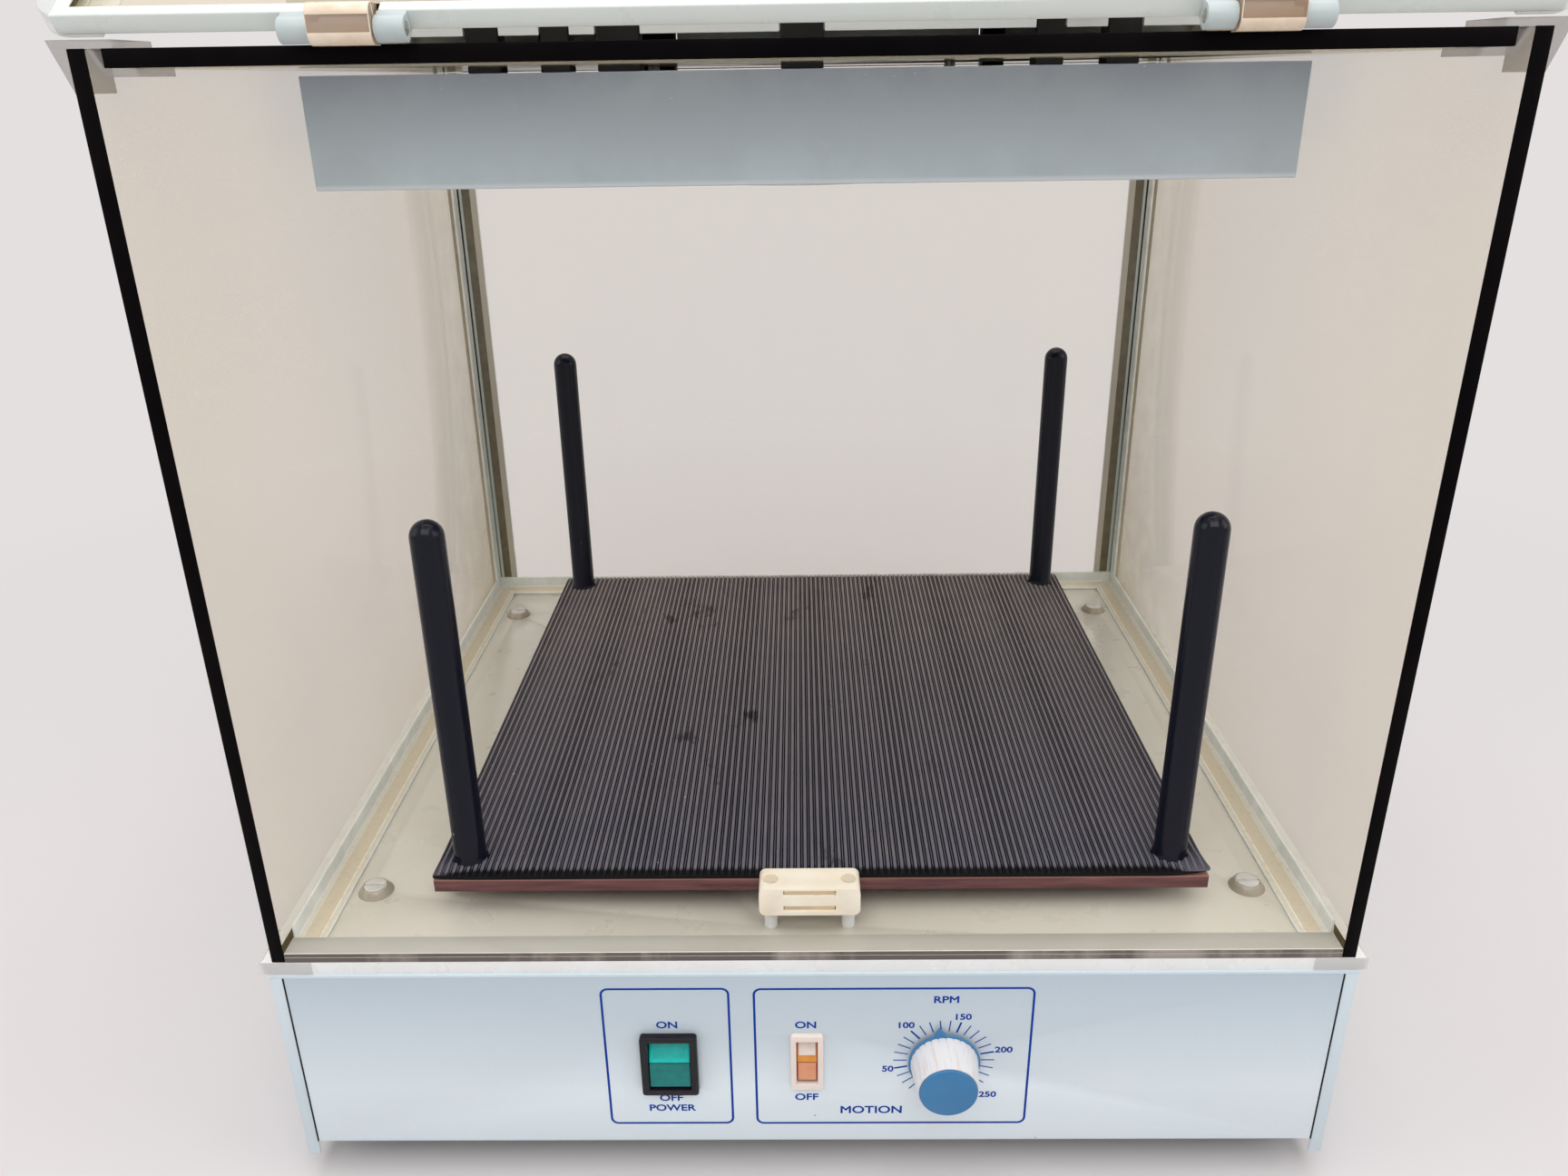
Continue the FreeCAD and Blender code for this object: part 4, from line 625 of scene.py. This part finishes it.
def ribbed_mat():
    """A grid whose rows are pushed down between the ribs, then given its thickness."""
    low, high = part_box("platform_mat")
    pitch, rib, fine, hem = 0.0030, 0.0013, 0.0005, 0.0020
    ribs = 111
    per_rib = 12
    rows = 50
    across = per_rib * ribs
    width, length = high.x - low.x, high.y - low.y
    bm = bmesh.new()
    place = Matrix.Translation(((low.x + high.x) / 2, (low.y + high.y) / 2, high.z))
    bmesh.ops.create_grid(bm, x_segments=across, y_segments=rows, size=0.5,
                          matrix=place @ Matrix.Diagonal((width, length, 1, 1)))
    middle = (low.x + high.x) / 2
    depth = 0.0015
    curl = 0.022
    for vert in bm.verts:
        x, y, z = vert.co
        offset = (x - middle) / pitch
        away = abs(offset - round(offset)) * pitch
        between = pitch / 2 - away
        if abs(round(offset)) > ribs // 2:
            away = between = pitch
        broad = min(1.0, max(0.0, (away - rib / 2) / 0.00025))
        narrow = min(1.0, max(0.0, (between - fine / 2 + 0.00012) / 0.00025))
        drop = depth * min(broad, max(narrow, 0.2))
        if y < low.y + hem:
            drop = max(drop, depth)
        vert.co.z = z - min(depth, drop)
    edge = [e for e in bm.edges if e.is_boundary]
    ring = bmesh.ops.extrude_edge_only(bm, edges=edge)["geom"]
    for vert in (g for g in ring if isinstance(g, bmesh.types.BMVert)):
        vert.co.z = low.z
    bmesh.ops.contextual_create(bm, geom=[e for e in bm.edges if e.is_boundary])
    closed(bm)
    for side, lift in ((low.x, 0.0010), (high.x, 0.0028)):
        for vert in bm.verts:
            reach = math.hypot(vert.co.x - side, vert.co.y - low.y)
            vert.co.z += lift * max(0.0, 1 - reach / curl) ** 2
    piece("ribbed_mat", bm, "platform", [MAT], ["platform_mat"], 50)


ribbed_mat()
wear("platform_bearings", MACHINED)

# Drive
for node in ("bearing_housing", "idler_housings", "motor_pulley"):
    wear(node, ALLOY)
for node in ("drive_crank", "idler_crank_1", "idler_crank_2", "idler_crank_3"):
    wear(node, MACHINED)
wear("drive_belt", RUBBER)
wear("drive_motor", ZINC)

# Controls
dressed("mains_switch_housing", "mains_bezel", 0.0006, [DARK], 3)
dressed("shaker_switch_housing", "shaker_bezel", 0.0010, [BEZEL], 4)
# Painted light: the green rocker's bright rim stands for light glowing through its edges.
GREEN_GLOW_RIM = lens("green_glow_rim", tone(0, 206, 196), tone(0, 190, 182))
# Painted light: the upper facet is paler because it faces the light from above.
GREEN_LIT_FACET = lens("green_lit_facet", tone(20, 172, 166), tone(44, 182, 176))
GREEN_RIDGE = lens("green_ridge", tone(8, 96, 90), tone(4, 70, 66))
GREEN_DEEP = lens("green_deep", tone(6, 132, 128), tone(0, 112, 108), rib=0.0024)
AMBER = lens("amber_rim", tone(226, 146, 96), tone(214, 128, 80))
# Painted highlight: the pale upper facet of the orange rocker stands for a lamp's reflection.
WINDOW_HIGHLIGHT = lens("window_highlight", tone(238, 232, 226), tone(228, 214, 200))
RIDGE_GOLD = lens("gold_ridge", tone(222, 160, 56), tone(210, 146, 48))
SALMON = lens("salmon_face", tone(226, 160, 124), tone(218, 148, 112), rib=0.0030)
RED_EDGE = lens("red_edge", tone(176, 84, 64), tone(160, 70, 56))


def rocker_lens(node, name, materials, rim, ridge, upper_rim):
    """A rocker whose two facets have a rim of another colour, parted by a narrow ridge; the green rocker's
    upper rim is a painted glow.
    """
    bm = copied(node)
    ridge_area = 0.00004
    front = [f for f in bm.faces if f.normal.y < -0.7]
    front.sort(key=lambda f: f.calc_center_median().z)
    shared = [e for e in front[0].edges if e in set(front[1].edges)]
    for face in bm.faces:
        face.material_index = 4
    for face, index in ((front[0], 3), (front[1], 1)):
        face.material_index = index
    rounded(bm, shared, ridge, 2)
    for face in bm.faces:
        if face.material_index in (1, 3) and face.calc_area() < ridge_area:
            face.material_index = 2
    for index, thickness, rim_index in ((1, upper_rim, 0), (3, rim, 4)):
        faces = [f for f in bm.faces if f.material_index == index]
        made = bmesh.ops.inset_region(bm, faces=faces, thickness=thickness, use_even_offset=True)
        for face in made["faces"]:
            face.material_index = rim_index
    outer = [e for e in bm.edges if len(e.link_faces) == 2 and e.calc_face_angle(0) > math.radians(50)]
    rounded(bm, outer, 0.0002, 2)
    piece(name, bm, BODY[node], materials, [node])


rocker_lens("mains_rocker", "green_rocker", [GREEN_GLOW_RIM, GREEN_LIT_FACET, GREEN_RIDGE, GREEN_DEEP, GREEN_DEEP],
            0.0006, 0.00035, 0.0016)
rocker_lens("shaker_rocker", "orange_rocker", [AMBER, WINDOW_HIGHLIGHT, RIDGE_GOLD, SALMON, RED_EDGE],
            0.0005, 0.0012, 0.0007)
dressed("speed_knob", "speed_knob_skirt", 0.00025, [KNOB_WHITE])
dressed("speed_knob_trim", "speed_knob_cap", 0.0005, [KNOB_BLUE], 3)
wear("potentiometer", ZINC)
dressed("mains_inlet", "rear_inlet", 0.0005, [DARK])
wear("control_board", BOARD_GREEN)


# Print
fascia_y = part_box("front_fascia")[0].y
top_box_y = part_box("top_box")[0].y
ink = 0.00006
letter = 0.0038
number = 0.0033
dial_x, dial_z = 0.0573, 0.0664


def lettering(words, x, z, height, y=fascia_y, width=1.18, weight=0.00011):
    """Ink in a wide sans, centred on a point of an upright face."""
    curve = bpy.data.curves.new("print_" + words.lower(), "FONT")
    curve.body = words
    curve.align_x = "CENTER"
    curve.align_y = "CENTER"
    curve.size = height / 0.76
    curve.bevel_depth = weight
    curve.bevel_resolution = 0
    curve.extrude = ink / 2
    text = bpy.data.objects.new(curve.name, curve)
    bpy.context.scene.collection.objects.link(text)
    bpy.context.view_layer.update()
    mesh = bpy.data.meshes.new_from_object(text)
    bpy.data.objects.remove(text)
    bm = bmesh.new()
    bm.from_mesh(mesh)
    bpy.data.meshes.remove(mesh)
    place = Matrix.Translation((x, y - ink / 2, z)) @ Matrix.Rotation(math.pi / 2, 4, "X")
    bmesh.ops.transform(bm, verts=bm.verts, matrix=place @ Matrix.Diagonal((width, 1, 1, 1)))
    return bm


def print_box(x0, x1, z0, z1, radius, line):
    """A thin frame with round corners: a rounded plate whose middle is taken out."""
    bm = bmesh.new()
    cube(bm, (x0, fascia_y - ink, z0), (x1, fascia_y, z1))
    edges = [e for e in bm.edges if abs((e.verts[0].co - e.verts[1].co).normalized().y) > 0.9]
    rounded(bm, edges, radius, 8)
    sides = [f for f in bm.faces if abs(f.normal.y) > 0.9]
    bmesh.ops.inset_region(bm, faces=sides, thickness=line, use_even_offset=True)
    rims = [edge for face in sides for edge in face.edges]
    bmesh.ops.delete(bm, geom=sides, context="FACES_ONLY")
    bmesh.ops.bridge_loops(bm, edges=rims)
    closed(bm)
    return bm


def scale_marks(x, z, y, near, far, first, step, count, majors):
    """Marks round a knob, every major one thicker. Angles are in degrees from the top."""
    bm = bmesh.new()
    for i in range(count):
        half = 0.00040 if i in majors else 0.00024
        verts = cube(bm, (-half, -ink, near), (half, 0, far))
        turn = Matrix.Translation((x, y, z)) @ Matrix.Rotation(math.radians(first + step * i), 4, "Y")
        bmesh.ops.transform(bm, verts=verts, matrix=turn)
    return bm


def printed(name, parts):
    whole = bmesh.new()
    for bm in parts:
        mesh = bpy.data.meshes.new("part")
        bm.to_mesh(mesh)
        bm.free()
        whole.from_mesh(mesh)
        bpy.data.meshes.remove(mesh)
    closed(whole)
    piece(name, whole, "base", [PRINT])


printed("print_frames", [print_box(-0.0890, -0.0342, 0.0300, 0.1063, 0.0035, 0.0010),
                         print_box(-0.0244, 0.0945, 0.0298, 0.1060, 0.0035, 0.0010)])
WORDS = [("ON", -0.0614, 0.0862, letter), ("OFF", -0.0615, 0.0451, letter),
         ("POWER", -0.0614, 0.0393, letter), ("ON", -0.0021, 0.0859, letter),
         ("OFF", -0.0020, 0.0454, letter), ("RPM", dial_x, 0.0993, letter),
         ("MOTION", 0.0264, 0.0378, 0.0044), ("50", 0.0332, 0.0614, number),
         ("100", 0.0404, 0.0856, number), ("150", 0.0645, 0.0900, number),
         ("200", 0.0828, 0.0719, number), ("250", 0.0771, 0.0466, number)]
printed("print_words", [lettering(*word) for word in WORDS])
printed("print_marks", [scale_marks(dial_x, dial_z, fascia_y, 0.0160, 0.0218, -138, 12, 24,
                                    (3, 8, 13, 18, 23))])


def temperature_scale():
    """Plain degrees round the knob on the top box."""
    low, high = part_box("temperature_knob")
    x, z = (low.x + high.x) / 2, (low.z + high.z) / 2
    reach = (high.x - low.x) / 2
    marks = scale_marks(x, z, top_box_y, reach + 0.002, reach + 0.006, -125, 25, 11, (0, 5, 10))
    numbers = []
    out = reach + 0.010
    for i, degrees in enumerate(("20", "30", "40", "50", "60", "70")):
        angle = math.radians(-125 + 50 * i)
        place = x + out * math.sin(angle), z + out * math.cos(angle)
        numbers.append(lettering(degrees, *place, 0.0036, top_box_y))
    return [marks] + numbers


printed("print_temperature", temperature_scale())


# Camera at the photograph's place
def camera():
    pitch, yaw, roll = math.radians(23.01), math.radians(-0.90), math.radians(0.88)
    ahead = Vector((math.sin(yaw) * math.cos(pitch), math.cos(yaw) * math.cos(pitch), -math.sin(pitch)))
    right = Vector((math.cos(yaw), -math.sin(yaw), 0))
    down = ahead.cross(right)
    right, down = (math.cos(roll) * right + math.sin(roll) * down,
                   -math.sin(roll) * right + math.cos(roll) * down)
    lens = bpy.data.cameras.new("camera")
    lens.sensor_width = 36.0
    lens.lens = 27.66
    lens.clip_start = 0.01
    eye = bpy.data.objects.new("camera", lens)
    turn = Matrix((right, -down, -ahead)).transposed().to_4x4()
    eye.matrix_world = Matrix.Translation((-0.00225, -0.5962, 0.4582)) @ turn
    bpy.context.scene.collection.objects.link(eye)
    bpy.context.scene.camera = eye


camera()


# Light and stage
def lamp(name, place, target, size, power, colour=(1.0, 0.99, 0.98)):
    light = bpy.data.lights.new(name, "AREA")
    light.shape = "RECTANGLE"
    light.size, light.size_y = size
    light.energy = power
    light.color = colour
    made = bpy.data.objects.new(name, light)
    made.location = place
    made.rotation_euler = (Vector(target) - Vector(place)).to_track_quat("-Z", "Y").to_euler()
    bpy.context.scene.collection.objects.link(made)


lamp("front_lamp", (0.0, -1.7, 2.2), (0.0, 0.0, 0.25), (2.2, 1.4), 29.0)
lamp("top_lamp", (0.0, 0.2, 2.6), (0.0, 0.1, 0.0), (2.4, 2.4), 33.0)
lamp("left_lamp", (-2.1, -0.6, 1.3), (0.0, 0.0, 0.25), (1.4, 1.4), 9.5)
lamp("right_lamp", (2.1, -0.6, 1.3), (0.0, 0.0, 0.25), (1.4, 1.4), 11.0)


BACKDROP = tone(228, 224, 224)


def seen_share(tree):
    """1 for the rays that see the backdrop directly, in a gloss or through plastic, and 0 for light."""
    rays = tree.nodes.new("ShaderNodeLightPath")
    share = rays.outputs["Is Camera Ray"]
    for ray in ("Is Glossy Ray", "Is Transmission Ray"):
        larger = tree.nodes.new("ShaderNodeMath")
        larger.operation = "MAXIMUM"
        tree.links.new(share, larger.inputs[0])
        tree.links.new(rays.outputs[ray], larger.inputs[1])
        share = larger.outputs["Value"]
    return share


def studio():
    world = bpy.data.worlds.new("studio")
    bpy.context.scene.world = world
    world.use_nodes = True
    tree = world.node_tree
    background = tree.nodes["Background"]
    background.inputs["Color"].default_value = BACKDROP
    power = tree.nodes.new("ShaderNodeMapRange")
    power.inputs["To Min"].default_value = 0.57
    power.inputs["To Max"].default_value = 1.0
    tree.links.new(seen_share(tree), power.inputs["Value"])
    tree.links.new(power.outputs["Result"], background.inputs["Strength"])


def bench():
    """A pale floor that takes the shadow near the object and fades into the backdrop around it."""
    bm = bmesh.new()
    bmesh.ops.create_grid(bm, x_segments=1, y_segments=1, size=6.0)
    mesh = bpy.data.meshes.new("bench")
    bm.to_mesh(mesh)
    bm.free()
    finish = Finish("bench_white", tone(215, 212, 213), 0.6, specular=0.2)
    finish.colour(finish.blend(finish.noise(0.4), tone(213, 210, 211), tone(217, 214, 215)))
    tree = finish.tree
    distance = finish.add("ShaderNodeVectorMath", operation="LENGTH")
    finish.link(finish.place, distance.inputs[0])
    share = finish.maths("MULTIPLY", finish.span(distance.outputs["Value"], 0.45, 1.1), seen_share(tree))
    glow = finish.add("ShaderNodeEmission")
    glow.inputs["Color"].default_value = BACKDROP
    mixed = finish.add("ShaderNodeMixShader")
    finish.link(share, mixed.inputs["Fac"])
    finish.link(finish.shader.outputs["BSDF"], mixed.inputs[1])
    finish.link(glow.outputs["Emission"], mixed.inputs[2])
    finish.link(mixed.outputs["Shader"], tree.nodes["Material Output"].inputs["Surface"])
    mesh.materials.append(finish.material)
    made = bpy.data.objects.new("bench", mesh)
    bpy.context.scene.collection.objects.link(made)


studio()
bench()
bpy.context.scene.view_settings.view_transform = "Standard"
